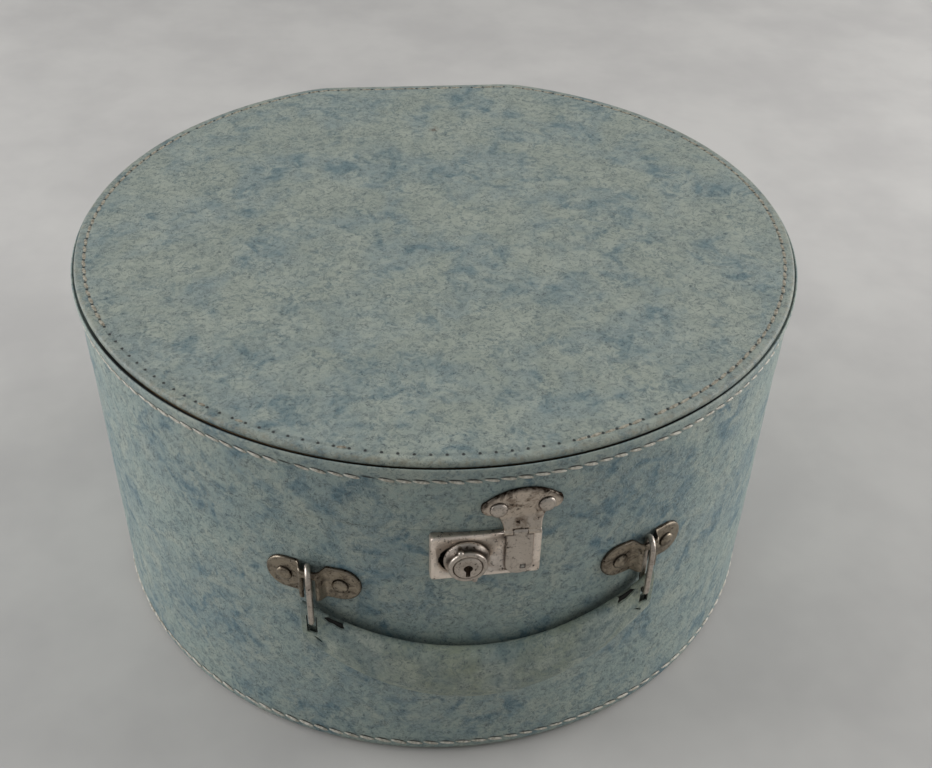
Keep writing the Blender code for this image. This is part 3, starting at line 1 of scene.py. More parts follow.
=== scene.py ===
# %% [markdown]
# # A round hat box in mottled leatherette
#
# This file dresses a set of ready solids. The solids say where each piece is and how it moves; the
# pieces made here stand for the ones that show, with rounded edges, stitches, wear and finishes.
# All lengths are in metres, Z is up, and the lock and handle face -Y.

import math
import random

import bmesh
import bpy
from mathutils import Matrix, Vector, noise


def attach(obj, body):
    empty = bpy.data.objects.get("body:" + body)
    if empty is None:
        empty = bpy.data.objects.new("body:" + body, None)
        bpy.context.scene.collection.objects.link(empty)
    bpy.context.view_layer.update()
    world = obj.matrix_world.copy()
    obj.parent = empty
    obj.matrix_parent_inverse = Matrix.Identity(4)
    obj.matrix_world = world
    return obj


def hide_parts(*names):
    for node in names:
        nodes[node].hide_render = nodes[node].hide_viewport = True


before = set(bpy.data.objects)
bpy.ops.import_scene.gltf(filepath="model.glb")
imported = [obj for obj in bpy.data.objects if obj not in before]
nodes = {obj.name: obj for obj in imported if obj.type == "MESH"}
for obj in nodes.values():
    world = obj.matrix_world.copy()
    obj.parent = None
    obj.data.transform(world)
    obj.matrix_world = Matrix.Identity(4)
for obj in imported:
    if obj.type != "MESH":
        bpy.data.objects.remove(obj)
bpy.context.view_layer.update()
MM = 0.001
chance = random.Random(12)

# %% [markdown]
# ## The camera and the light
#
# The camera stands where the photographer stood: half a metre in front, half a metre up, and tipped
# down by nearly 39 degrees. A lens of 46.6 mm on a 36 mm wide frame gives the same perspective.

# %% Camera
CAMERA_PLACE = (-0.06405, -0.50955, 0.4977)
VIEW_TURN = math.radians(-9.0)
VIEW_TIP = math.radians(90.0 - 38.70)
VIEW_ROLL = 0.0291
LENS = 46.598
camera = bpy.data.objects.new("camera", bpy.data.cameras.new("camera"))
camera.data.lens = LENS
camera.data.sensor_width = 36.0
camera.data.clip_start = 0.01
camera.matrix_world = (
    Matrix.Translation(CAMERA_PLACE)
    @ Matrix.Rotation(VIEW_TURN, 4, "Z")
    @ Matrix.Rotation(VIEW_TIP, 4, "X")
    @ Matrix.Rotation(VIEW_ROLL, 4, "Z")
)
bpy.context.scene.collection.objects.link(camera)
bpy.context.scene.camera = camera
bpy.context.scene.view_settings.view_transform = "Standard"
print("camera at", CAMERA_PLACE, "with a lens of", LENS, "mm")

# %% [markdown]
# ## Small helpers
#
# Colours are picked as sRGB hex values, as on a paint chart, and turned to linear light once. A node
# is added with its settings and links in one line, so that a material reads from top to bottom.


# %% Colours and nodes
def linear(hex_colour):
    """An sRGB hex colour as linear red, green, blue and full alpha."""
    channels = [int(hex_colour[start:start + 2], 16) / 255 for start in (1, 3, 5)]
    return (*[c / 12.92 if c <= 0.04045 else ((c + 0.055) / 1.055) ** 2.4 for c in channels], 1.0)


def add(tree, kind, inputs=None, **settings):
    """Add a node: settings are its own options, inputs are values or outputs of other nodes."""
    new = tree.nodes.new(kind)
    for name, value in settings.items():
        setattr(new, name, value)
    for socket, value in (inputs or {}).items():
        if isinstance(value, bpy.types.NodeSocket):
            tree.links.new(value, new.inputs[socket])
        else:
            new.inputs[socket].default_value = value
    return new


def per(length):
    """The scale of a pattern whose features are this long."""
    return 1.0 / length


def new_material(name, roughness, metallic=0.0, **shader):
    """A material with its Principled shader; what is the same all over is set on its own sockets."""
    material = bpy.data.materials.new(name)
    material.use_nodes = True
    tree = material.node_tree
    surface = tree.nodes["Principled BSDF"]
    surface.inputs["Roughness"].default_value = roughness
    surface.inputs["Metallic"].default_value = metallic
    for socket, value in shader.items():
        surface.inputs[socket.replace("_", " ")].default_value = value
    return material, tree, surface


def maths(tree, operation, *values, **settings):
    """A number worked out from one or two others."""
    inputs = dict(enumerate(values))
    return add(tree, "ShaderNodeMath", inputs, operation=operation, **settings).outputs["Value"]


def times(tree, first, second, **settings):
    """Two numbers multiplied."""
    return maths(tree, "MULTIPLY", first, second, **settings)


def vector_maths(tree, operation, *values, output="Vector"):
    """A vector or, with the output Value, a length worked out from others."""
    inputs = dict(enumerate(values))
    return add(tree, "ShaderNodeVectorMath", inputs, operation=operation).outputs[output]


def ramp(tree, value, low, high, start=0.0, end=1.0, **settings):
    """A number that goes from start, where the value is low, to end, where it is high."""
    inputs = {"Value": value, "From Min": low, "From Max": high, "To Min": start, "To Max": end}
    return add(tree, "ShaderNodeMapRange", inputs, **settings).outputs["Result"]


def soft_ramp(tree, value, low, high, start=0.0, end=1.0):
    """A ramp that starts and ends gently."""
    return ramp(tree, value, low, high, start, end, interpolation_type="SMOOTHSTEP")


def mottle(tree, place, size, low, high, detail=5.0, roughness=0.6, distortion=0.0):
    """Cloudy noise with features of a size, spread from 0 at low to 1 at high."""
    cloud = add(tree, "ShaderNodeTexNoise", {
        "Vector": place, "Scale": per(size), "Detail": detail,
        "Roughness": roughness, "Distortion": distortion,
    })
    return soft_ramp(tree, cloud.outputs["Fac"], low, high)


def blended(tree, share, first, second):
    """One colour laid over another by a share."""
    inputs = {0: share, 6: first, 7: second}
    return add(tree, "ShaderNodeMix", inputs, data_type="RGBA", blend_type="MIX").outputs[2]


def relief(tree, surface, height, distance):
    """Give the surface a bump whose full height is a distance."""
    bump = add(tree, "ShaderNodeBump", {"Height": height, "Distance": distance, "Strength": 1.0})
    tree.links.new(bump.outputs["Normal"], surface.inputs["Normal"])


# %% What a finish asks of its piece
def place_on(tree):
    """The place on the piece, in metres."""
    return add(tree, "ShaderNodeTexCoord").outputs["Object"]


def wear_and_shade_on(tree):
    """The wear and shade attribute: rubbing and tarnish above 0, painted shade below it."""
    return add(tree, "ShaderNodeAttribute", attribute_name="wear_and_shade").outputs["Fac"]


def shade_and_grime_on(tree, wear_and_shade):
    """How much painted shade the attribute asks for below 0; on the brackets and the hasp it also stands
    for rust.
    """
    return maths(tree, "MAXIMUM", times(tree, wear_and_shade, -1.0), 0.0)


def own_map(tree):
    """The distance round the box and the distance across the piece."""
    uv = add(tree, "ShaderNodeUVMap", uv_map="around").outputs["UV"]
    split = add(tree, "ShaderNodeSeparateXYZ", {"Vector": uv})
    return split.outputs["X"], split.outputs["Y"]


# %% [markdown]
# ## Finish: the leatherette
#
# The box is covered in coated bookbinder's cloth, printed with a marbled pattern: a pale grey-green
# ground, blue clouds one or two centimetres wide, and fine dark fibres through both. It is a vinyl or
# nitrocellulose coat, so its IOR is 1.5 and it is satin rather than glossy. Where a row of stitches
# runs, the needle holes are dark, a short painted shadow lies just above each slanted stitch, and the
# groove that the thread draws in is painted darker as shade. They follow the piece's own map, whose
# first number is the distance round the box and whose second is the distance across the piece. Near
# black painted shade fills the gap between the lid's panel and the wall's fold.


# %% Marbling
def marbling(tree, place, grain, ground, cloud, share):
    """The printed pattern; share is how strongly the clouds show."""
    large = mottle(tree, place, 38 * MM, 0.38, 0.64, detail=3.0, distortion=0.5)
    patches = mottle(tree, place, 13 * MM, 0.46, 0.66, detail=7.0, roughness=0.66, distortion=0.9)
    pale = mottle(tree, place, 15 * MM, 0.42, 0.66, detail=6.0, roughness=0.7, distortion=0.6)
    fibres = mottle(tree, place, 3.6 * MM, 0.42, 0.62, detail=5.0, roughness=0.78, distortion=1.1)
    strokes = mottle(tree, place, 2.2 * MM, 0.50, 0.62, detail=3.0, roughness=0.7, distortion=2.2)

    soft = blended(tree, times(tree, large, 0.55), linear(ground), linear("#87999c"))
    colour = blended(tree, times(tree, pale, 0.60), soft, linear("#b6bbac"))
    fine_and_large = maths(tree, "ADD", times(tree, fibres, 0.45), times(tree, large, 0.55))
    blue = times(tree, times(tree, patches, fine_and_large), share, use_clamp=True)
    colour = blended(tree, blue, colour, linear(cloud))
    colour = blended(tree, times(tree, fibres, 0.42), colour, linear("#5f7072"))
    dark = times(tree, strokes, times(tree, fibres, 0.75))
    colour = blended(tree, dark, colour, linear("#36434a"))
    return blended(tree, times(tree, grain, 0.18), colour, linear("#6c7874"))


# %% Needle holes and painted stitch shadows
def needle_holes_and_stitch_shadows(tree, row, pitch, slanted):
    """The dark needle holes and painted stitch shadows of a row, and painted shade on the strip that the
    thread draws in.

    A slanted row has a short painted shadow line just above each stitch; any other row has a round
    dark needle hole between each stitch and the next.
    """
    around, over = own_map(tree)
    step = maths(tree, "DIVIDE", around, pitch)
    start = step if slanted else maths(tree, "ADD", step, 0.5)
    nearest = maths(tree, "SUBTRACT", maths(tree, "FRACT", start), 0.5)
    along = times(tree, nearest, pitch * (0.28 if slanted else 1.0))
    # A slanted row's dark mark sits 1.05 mm above its stitch, as a painted shadow of the thread.
    across = maths(tree, "SUBTRACT", over, row + (1.05 * MM if slanted else 0.0))
    if slanted:
        across = maths(tree, "ADD", across, times(tree, nearest, pitch * 0.19))
    spot = add(tree, "ShaderNodeCombineXYZ", {"X": along, "Y": across}).outputs["Vector"]
    away = vector_maths(tree, "LENGTH", spot, output="Value")
    marks = soft_ramp(tree, away, 0.50 * MM, 0.95 * MM, 1.0, 0.0)
    # Painted shade along the groove that the thread draws in.
    groove_shade = soft_ramp(tree, maths(tree, "ABSOLUTE", across), 0.3 * MM, 1.5 * MM, 1.0, 0.0)
    return marks, groove_shade


# %% Leatherette
SCUFF_HEIGHT = 186.5 * MM


def leatherette(
    name, ground, cloud, share=1.5, row=None, pitch=None, slanted=False, rubbed="#8b8876", scuff=None
):
    """Marbled coated cloth.

    Row is where stitches run on the piece's map and pitch is their length. Rubbed is the colour of
    worn places, and a scuff is the x and y of a small brown mark on the panel.
    """
    material, tree, surface = new_material(name, 0.52, IOR=1.5)
    place, wear_and_shade = place_on(tree), wear_and_shade_on(tree)
    grain = mottle(tree, place, 0.9 * MM, 0.25, 0.75, detail=3.0, roughness=0.7)
    colour = marbling(tree, place, grain, ground, cloud, share)

    scuffs = mottle(tree, place, 3.5 * MM, 0.45, 0.62, detail=6.0, roughness=0.75)
    worn = times(tree, maths(tree, "MAXIMUM", wear_and_shade, 0.0), maths(tree, "ADD", scuffs, 0.25))
    colour = blended(tree, times(tree, worn, 0.70), colour, linear(rubbed))
    if scuff is not None:
        from_mark = vector_maths(tree, "DISTANCE", place, (*scuff, SCUFF_HEIGHT), output="Value")
        mark = ramp(tree, from_mark, 1.0 * MM, 4.0 * MM, 1.3, 0.0)
        colour = blended(tree, times(tree, mark, scuffs, use_clamp=True), colour, linear("#5d4c40"))
    # Painted shade: near black where the wear attribute is below 0, in the gap between the lid's panel and
    # the wall's fold.
    colour = blended(tree, shade_and_grime_on(tree, wear_and_shade), colour, linear("#0d0c0a"))

    height = grain
    if row is not None:
        marks, groove_shade = needle_holes_and_stitch_shadows(tree, row, pitch, slanted)
        # Painted shade on the stitch groove, then dark needle holes and painted stitch shadows.
        colour = blended(tree, times(tree, groove_shade, 0.25), colour, linear("#5d6763"))
        colour = blended(tree, times(tree, marks, 0.9), colour, linear("#171a19"))
        height = maths(tree, "SUBTRACT", height, times(tree, marks, 3.0))
    tree.links.new(colour, surface.inputs["Base Color"])
    tree.links.new(ramp(tree, grain, 0.0, 1.0, 0.44, 0.62), surface.inputs["Roughness"])
    relief(tree, surface, height, 0.12 * MM)
    return material


# %% [markdown]
# ## Finish: worn nickel plate, steel, thread, board and lining
#
# The hardware is pressed steel with a thin nickel plate. After decades the plate has brown tarnish in
# clouds and pits a few tenths of a millimetre wide where rust has come through. Round the rivet
# heads, along the upper edges of the brackets and the hasp and on the barrel's cone a dark shade is
# painted in, mixed with rust on the brackets and the hasp. A metal keeps the default IOR; its colour
# is the colour of its reflection.


# %% Metals
def worn_metal(name, bright, tarnish, roughness, tarnish_share, pit_size=1.1 * MM, edge_shade_and_rust=None):
    """Tarnished plate; the last argument is a point of x and z and the two radii between which painted
    shade, mixed with rust, sets in.
    """
    material, tree, surface = new_material(name, roughness, 1.0)
    place, wear_and_shade = place_on(tree), wear_and_shade_on(tree)
    clouds = mottle(tree, place, 7 * MM, 0.42, 0.68, detail=6.0, roughness=0.7, distortion=0.6)
    specks = mottle(tree, place, pit_size, 0.57, 0.64, detail=3.0, roughness=0.65)
    pits = times(tree, specks, maths(tree, "ADD", clouds, 0.25))
    stretch = {"Vector": place, "Scale": (1.0, 1.0, 14.0), "Rotation": (0.0, 0.9, 0.2)}
    stretched = add(tree, "ShaderNodeMapping", stretch).outputs["Vector"]
    scratches = mottle(tree, stretched, 3 * MM, 0.40, 0.60, detail=4.0)
    dull = maths(tree, "MAXIMUM", times(tree, clouds, tarnish_share), wear_and_shade)
    colour = blended(tree, dull, linear(bright), linear(tarnish))
    colour = blended(tree, times(tree, scratches, 0.12), colour, linear("#f0e9df"))

    # Painted shade where the wear attribute is below 0, with rust on the bracket and hasp edges; round a
    # given point, a ring of painted shade mixed with rust.
    shade_and_grime = times(tree, shade_and_grime_on(tree, wear_and_shade), maths(tree, "ADD", specks, 0.9))
    if edge_shade_and_rust is not None:
        x, z, unshaded, shaded = edge_shade_and_rust
        from_point = vector_maths(tree, "ADD", place, (-x, 0.0, -z))
        level = vector_maths(tree, "MULTIPLY", from_point, (1.0, 0.0, 1.0))
        away = vector_maths(tree, "LENGTH", level, output="Value")
        blurred = maths(tree, "ADD", away, times(tree, clouds, 1.8 * MM))
        shade_and_grime = maths(tree, "MAXIMUM", shade_and_grime, ramp(tree, blurred, unshaded, shaded))
    # The dark colour holds the rust pits and the painted shade.
    stain = maths(tree, "MAXIMUM", shade_and_grime, pits, use_clamp=True)
    colour = blended(tree, stain, colour, linear("#241a13"))
    tree.links.new(colour, surface.inputs["Base Color"])

    scores = times(tree, scratches, 0.06)
    shine = ramp(tree, dull, 0.0, 1.0, roughness, min(roughness + 0.28, 0.9))
    tree.links.new(maths(tree, "ADD", shine, scores), surface.inputs["Roughness"])
    relief(tree, surface, maths(tree, "ADD", times(tree, pits, -1.0), scores), 0.10 * MM)
    return material


# %% Thread, board, fibre and cloth
def fibrous(name, colour_a, colour_b, size, roughness, height):
    """A dull material of two close colours, for thread, board and fibre."""
    material, tree, surface = new_material(name, roughness)
    soft = mottle(tree, place_on(tree), size, 0.35, 0.68, detail=6.0, roughness=0.7)
    tree.links.new(blended(tree, soft, linear(colour_a), linear(colour_b)), surface.inputs["Base Color"])
    relief(tree, surface, soft, height)
    return material


def lining_cloth(name):
    """Plain woven cotton, about 14 threads to the centimetre, glued flat; slightly foxed with age."""
    thread = 0.7 * MM
    material, tree, surface = new_material(name, 0.9, Sheen_Weight=0.2)
    waves = [maths(tree, "SINE", times(tree, way, math.pi / thread)) for way in own_map(tree)]
    lift = maths(tree, "ADD", times(tree, times(tree, *waves), 0.5), 0.5)
    stain = mottle(tree, place_on(tree), 45 * MM, 0.45, 0.75, detail=4.0)
    colour = blended(tree, times(tree, lift, 0.25), linear("#cfc7b2"), linear("#b5ac95"))
    colour = blended(tree, times(tree, stain, 0.35), colour, linear("#b39f7c"))
    tree.links.new(colour, surface.inputs["Base Color"])
    relief(tree, surface, lift, 0.15 * MM)
    return material


NICKEL = worn_metal("worn_nickel_plate", "#c2b7ab", "#82746a", 0.33, 0.50)
PITTED_NICKEL = worn_metal("pitted_nickel_plate", "#f4e6d8", "#a89584", 0.36, 0.45, 1.3 * MM)
# The hasp's plate: heavy tarnish, and painted shade mixed with rust in a ring along the fan's top edge.
STAINED_AND_SHADED_NICKEL = worn_metal(
    "stained_nickel_plate_with_painted_shade", "#cfc1b1", "#6a5440", 0.38, 0.80, 1.5 * MM,
    (13.3 * MM, 149.7 * MM, 19.6 * MM, 22.2 * MM),
)
DARK_NICKEL = worn_metal("tarnished_nickel_plate", "#9a8e7b", "#453a2e", 0.32, 0.80, 1.4 * MM)
STEEL = worn_metal("bare_steel", "#9a9791", "#6b6258", 0.42, 0.35)
THREAD = fibrous("waxed_linen_thread", "#e2ddd0", "#a39c8b", 1.8 * MM, 0.75, 0.08 * MM)
OLD_THREAD = fibrous("soiled_linen_thread", "#b9b2a0", "#6f6858", 1.4 * MM, 0.8, 0.06 * MM)
BOARD = fibrous("pressed_board", "#a08763", "#866d4b", 3.0 * MM, 0.92, 0.10 * MM)
# Near black for the handle's core: painted shade for the inside of the handle's slots, splits and tears.
CORE_SHADE_FIBRE = fibrous("handle_core_painted_shade", "#191611", "#0f0d0b", 4.0 * MM, 0.8, 0.05 * MM)
FIBRE = fibrous("tan_vulcanised_fibre", "#a98a5f", "#8c6f49", 5.0 * MM, 0.75, 0.05 * MM)
LINING = lining_cloth("cream_lining_cloth")
print(len(bpy.data.materials), "materials so far")

# %% [markdown]
# ## The drum's plan
#
# Seen from above the box is a circle of 350 mm whose back is cut flat for the hinges, with wide soft
# corners. The photo shows the back half a little shallower than the front, and its flat turned by
# 2.4 degrees. A spin can't give a round with a flat side, so every wall and panel is a grid that is
# bent round this plan: one row of the grid for each place on the plan, and one column for each point
# of the piece's section.

# %% Places round the plan
RIM_RADIUS = 175.2 * MM
FLAT_DISTANCE = 161.2 * MM
CORNER_RADIUS = 46.0 * MM
BACK_SHARE = 0.972
BACK_TURN = Matrix.Rotation(math.radians(-2.4), 4, "Z")
PARALLEL = 15.0 * MM
FLAT_STEPS = 30
SAME_POINT = 0.01 * MM
QUARTER = math.pi / 2


def drum_plan():
    """Point, outward direction and distance walked, from the back left anticlockwise to the start."""
    flat = FLAT_DISTANCE / BACK_SHARE
    centre_y = flat - CORNER_RADIUS
    centre_x = math.sqrt((RIM_RADIUS - CORNER_RADIUS) ** 2 - centre_y ** 2)
    lean = math.atan2(centre_y, centre_x)
    arcs = (
        ((0.0, 0.0), RIM_RADIUS, math.pi - lean, 2 * math.pi + lean, 420),
        ((centre_x, centre_y), CORNER_RADIUS, lean, math.pi / 2, 16),
        ((-centre_x, centre_y), CORNER_RADIUS, math.pi / 2, math.pi - lean, 16),
    )
    places = []
    for (x, y), radius, start, end, steps in arcs:
        for step in range(steps + 1):
            turn = start + (end - start) * step / steps
            way = Vector((math.cos(turn), math.sin(turn)))
            places.append((Vector((x, y)) + way * radius, way))
        if radius == CORNER_RADIUS and x > 0:
            for step in range(1, FLAT_STEPS):
                places.append((Vector((x - 2 * x * step / FLAT_STEPS, flat)), Vector((0.0, 1.0))))
    walked, plan = 0.0, []
    for index, (point, way) in enumerate(places):
        step = (point - places[index - 1][0]).length if index else 0.0
        if index and step < SAME_POINT:
            continue
        walked += step
        plan.append((point, way, walked))
    return plan


PLAN = drum_plan()
ROUND = PLAN[-1][2]
print(len(PLAN), "places round the plan,", round(ROUND / MM), "mm round")


def on_plan(x, y):
    """The back half drawn in, and the whole turned, as the box stands."""
    return (BACK_TURN @ Vector((x, y * BACK_SHARE if y > 0 else y, 0.0))).xy


def drum_point(place, inset):
    """A point taken in by an inset: parallel to the rim at first, then towards the middle."""
    point, way, _ = place
    near = min(inset, PARALLEL)
    shrink = 1 - max(inset - PARALLEL, 0.0) / (RIM_RADIUS - PARALLEL)
    return on_plan(*((point - way * near) * shrink))


def way_out(place):
    """The level direction straight out of the wall at a place of the plan."""
    _, way, _ = place
    steeper = Vector((way.x, way.y / BACK_SHARE if way.y > 0 else way.y, 0.0))
    return (BACK_TURN @ steeper).normalized()


# %% [markdown]
# ## Turning grids, blocks and profiles into pieces
#
# A piece starts as a bmesh: a grid bent round the plan, a block, an outline pushed up, or a profile
# spun round. Each is then finished in the same way: smooth faces with sharp edges over 35 degrees, one
# material, the body it rides on, and the solids it stands for.

# %% Pieces
SHARP = math.radians(35.0)
IN_PLACE = Matrix.Identity(4)


def finish_mesh(name, work, material, body, stands_for=()):
    """Turn a bmesh into a finished piece that rides on a body and stands for its solids."""
    mesh = bpy.data.meshes.new(name)
    work.to_mesh(mesh)
    work.free()
    mesh.shade_smooth()
    mesh.set_sharp_from_angle(angle=SHARP)
    mesh.materials.append(material)
    piece = bpy.data.objects.new(name, mesh)
    bpy.context.scene.collection.objects.link(piece)
    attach(piece, body)
    if stands_for:
        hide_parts(*stands_for)
    print(f"{name}: {len(mesh.vertices)} points, {len(mesh.polygons)} faces")
    return piece


# %% Points, shares and steps
def from_mm(points):
    """Points whose first two numbers are in millimetres, in metres; a third stays as it is."""
    return [(x * MM, y * MM, *rest) for x, y, *rest in points]


def clamped(value):
    """A number kept between 0 and 1."""
    return min(1.0, max(0.0, value))


def eased(share):
    """From 0 to 1, starting and ending gently."""
    return (1 - math.cos(math.pi * clamped(share))) / 2


def even_steps(low, high, step):
    """Numbers from low to high, both included, about a step apart."""
    count = max(1, round((high - low) / step))
    return [low + (high - low) * index / count for index in range(count + 1)]


# %% Grids round the plan
RIPPLE = 55 * MM
# Where the painted shade in the lid's gap is full, in degrees round from the front, and how fast it fades.
GAP_SHADE_FROM, GAP_SHADE_TO, GAP_SHADE_FADE = -62.0, 34.0, 16.0


def gap_shade_share(turn):
    """The painted shade in the gap under the panel is full at the left and in front, and fades round the
    right and the back.
    """
    past = max(GAP_SHADE_FROM - turn, turn - GAP_SHADE_TO, 0.0)
    return 0.15 + 0.85 * max(0.0, 1 - past / GAP_SHADE_FADE)


def bent_round(section, uneven=0.0, lean=None):
    """Bend a grid round the plan; a section is a closed line of (inset, height, wear) points, and a
    wear below 0 is painted shade.

    Uneven is how far the walls wave in and out, and lean adds to the inset from place to place.
    Also gives each section point's distance across the piece.
    """
    rows, columns = len(PLAN) - 1, len(section) - 1
    work = bmesh.new()
    bmesh.ops.create_grid(work, x_segments=rows, y_segments=columns, size=1.0)
    around = work.loops.layers.uv.new("around")
    wear_and_shade = work.verts.layers.float.new("wear_and_shade")
    along = [0.0]
    for first, second in zip(section, section[1:]):
        along.append(along[-1] + math.dist(first[:2], second[:2]))
    spots = {}
    for vertex in work.verts:
        row = round((vertex.co.x + 1) / 2 * rows)
        column = round((vertex.co.y + 1) / 2 * columns)
        spots[vertex.index] = (row, column)
    for face in work.faces:
        for loop in face.loops:
            row, column = spots[loop.vert.index]
            loop[around].uv = (PLAN[row][2], along[column])
    for vertex in work.verts:
        row, column = spots[vertex.index]
        inset, height, worn = section[column]
        if lean is not None:
            inset += lean(PLAN[row], inset)
        x, y = drum_point(PLAN[row], inset)
        way = way_out(PLAN[row])
        ripple = noise.noise(Vector((x, y, height)) * per(RIPPLE)) * uneven
        flat = clamped((inset - PARALLEL) / PARALLEL)
        sideways = ripple * (1 - flat)
        sunk = min(ripple, 0.0) * flat
        vertex.co = (x + way.x * sideways, y + way.y * sideways, height + sunk)
        # A wear below 0 is painted shade in the lid's gap, faded by the place round the box.
        shaded = gap_shade_share(math.degrees(math.atan2(x, -y)))
        vertex[wear_and_shade] = worn if worn > 0 else worn * shaded
    bmesh.ops.remove_doubles(work, verts=work.verts, dist=SAME_POINT)
    bmesh.ops.recalc_face_normals(work, faces=work.faces)
    return work, along


# %% Blocks, pushed-up outlines and turned parts
def box_shape(low, high):
    """A block between two corners."""
    work = bmesh.new()
    bmesh.ops.create_cube(work, size=1.0)
    low, high = Vector(low), Vector(high)
    bmesh.ops.scale(work, vec=high - low, verts=work.verts)
    bmesh.ops.translate(work, vec=(low + high) / 2, verts=work.verts)
    return work


def pushed_up(outline, low, high):
    """A closed block whose outline is a line of (x, y) points, between two heights."""
    work = bmesh.new()
    face = work.faces.new([work.verts.new((x, y, low)) for x, y in outline])
    risen = bmesh.ops.extrude_face_region(work, geom=[face])["geom"]
    top = [item for item in risen if isinstance(item, bmesh.types.BMVert)]
    bmesh.ops.translate(work, vec=(0.0, 0.0, high - low), verts=top)
    bmesh.ops.recalc_face_normals(work, faces=work.faces)
    return work


def turned(profile, steps=48, closed=False):
    """Spin a profile of (radius, height) about Z into a closed form."""
    work = bmesh.new()
    points = [work.verts.new((radius, 0.0, height)) for radius, height in profile]
    edges = [work.edges.new(pair) for pair in zip(points, points[1:])]
    if closed:
        edges.append(work.edges.new((points[-1], points[0])))
    bmesh.ops.spin(
        work, geom=points + edges, cent=(0, 0, 0), axis=(0, 0, 1),
        angle=2 * math.pi, steps=steps, use_merge=True,
    )
    bmesh.ops.remove_doubles(work, verts=work.verts, dist=SAME_POINT / 2)
    bmesh.ops.recalc_face_normals(work, faces=work.faces)
    return work


def arc(x, y, radius, start, end, steps):
    """Points of an arc, both ends included."""
    turns = [start + (end - start) * step / steps for step in range(steps + 1)]
    return [(x + radius * math.cos(turn), y + radius * math.sin(turn)) for turn in turns]


# %% Places, unions and cuts
def facing_out(angle, x, out, z):
    """Local +Z points out of the drum at an angle from the front, and +Y stays up."""
    upright = Matrix.Rotation(QUARTER, 4, "X")
    return Matrix.Rotation(angle, 4, "Z") @ Matrix.Translation((x, -out, z)) @ upright


def behind(x, y, z):
    """Local +Z points out of the flat back."""
    return BACK_TURN @ Matrix.Translation((x, y, z)) @ Matrix.Rotation(-QUARTER, 4, "X")


def put_together(parts):
    """Several shapes, each moved by its matrix, in one bmesh."""
    whole = bmesh.new()
    for work, matrix in parts:
        mesh = bpy.data.meshes.new("part")
        work.to_mesh(mesh)
        work.free()
        mesh.transform(matrix)
        whole.from_mesh(mesh)
        bpy.data.meshes.remove(mesh)
    return whole


def cut_away(piece, cutters):
    """Cut holes through a piece with closed shapes, once, and leave no modifier behind."""
    for work, matrix in cutters:
        mesh = bpy.data.meshes.new("cutter")
        work.to_mesh(mesh)
        work.free()
        mesh.transform(matrix)
        cutter = bpy.data.objects.new("cutter", mesh)
        bpy.context.scene.collection.objects.link(cutter)
        modifier = piece.modifiers.new("cut", "BOOLEAN")
        modifier.object = cutter
        bpy.context.view_layer.update()
        graph = bpy.context.evaluated_depsgraph_get()
        result = bpy.data.meshes.new_from_object(piece.evaluated_get(graph))
        piece.modifiers.clear()
        old = piece.data
        piece.data = result
        bpy.data.meshes.remove(old)
        bpy.data.objects.remove(cutter)
    print(piece.name, "after its cuts:", len(piece.data.polygons), "faces")


def cut_shape(work, cutters):
    """A shape with its holes cut before it is put together with others.

    A boolean can lose a part of a shape whose parts overlap, so the holes come first.
    """
    blank = bpy.data.objects.new("blank", bpy.data.meshes.new("blank"))
    bpy.context.scene.collection.objects.link(blank)
    work.to_mesh(blank.data)
    work.free()
    cut_away(blank, cutters)
    mesh = blank.data
    bpy.data.objects.remove(blank)
    result = bmesh.new()
    result.from_mesh(mesh)
    bpy.data.meshes.remove(mesh)
    return result


# %% [markdown]
# ## The body's wall
#
# The wall's cover is one strip of leatherette, folded in over the board at the seam and under it at
# the base, with a row of stitches 6 mm above the bottom. Its section is walked once round: outside
# from the bottom up, over the top fold, and down the inside. The row of stitches lies in a shallow
# groove, because the thread draws the cloth in.

# %% Body wall
BODY_INSET = 2.0 * MM
BASE_ROW_HEIGHT = 6.4 * MM
BASE_STITCHES = 142
body_section = from_mm([
    (5.6, 1.2, 0.0), (4.6, 1.2, 0.3), (3.5, 1.35, 0.8), (2.7, 1.9, 0.9), (2.2, 2.8, 0.6),
    (2.0, 3.8, 0.3), (1.95, 5.0, 0.1), (2.1, 5.7, 0.0),
])
body_row = len(body_section)
body_section += [(2.35 * MM, BASE_ROW_HEIGHT, 0.0)]
body_section += from_mm([(2.1, 7.1, 0.0), (1.95, 8.0, 0.1)])
body_section += [(BODY_INSET, height, 0.0) for height in even_steps(10 * MM, 146 * MM, 5 * MM)]
body_section += from_mm([
    (2.0, 149.2, 0.0), (2.04, 149.65, 0.1), (2.2, 149.87, 0.2), (2.5, 149.93, 0.2),
    (5.6, 149.93, 0.1), (5.6, 148.85, 0.0), (2.9, 148.85, 0.0), (2.9, 3.4, 0.0),
    (4.0, 2.1, 0.0), (5.6, 2.1, 0.0), (5.6, 1.2, 0.0),
])
work, along = bent_round(body_section, uneven=0.20 * MM)
body_leatherette = leatherette(
    "wall_leatherette", "#9caba4", "#587986", 1.35, along[body_row], ROUND / BASE_STITCHES, True
)
body_wall = finish_mesh("body_wall", work, body_leatherette, "body", ["body_cover"])

# %% [markdown]
# The lock's case is let in through the wall, and each rivet goes through it, so the wall gets the
# same window and holes as the solid. A boolean cut is the plain way to make them.

# %% Window and rivet holes
LID_WALL = 173.6 * MM
BODY_WALL = 173.2 * MM
SEAM = 150 * MM
RIVET_HOLE = 1.6 * MM
HINGE_X = 35 * MM
HINGE_RIVET_X = 8 * MM
HINGE_RIVET_SEAT = 161.245 * MM
BRACKET_ANGLE = math.radians(24.3)
BRACKET_Z = 113.5 * MM
BRACKET_RIVET_X = 12.5 * MM
HASP_X = 13.3 * MM
TONGUE_X = 12.4 * MM
HASP_RIVET_X = 9.85 * MM


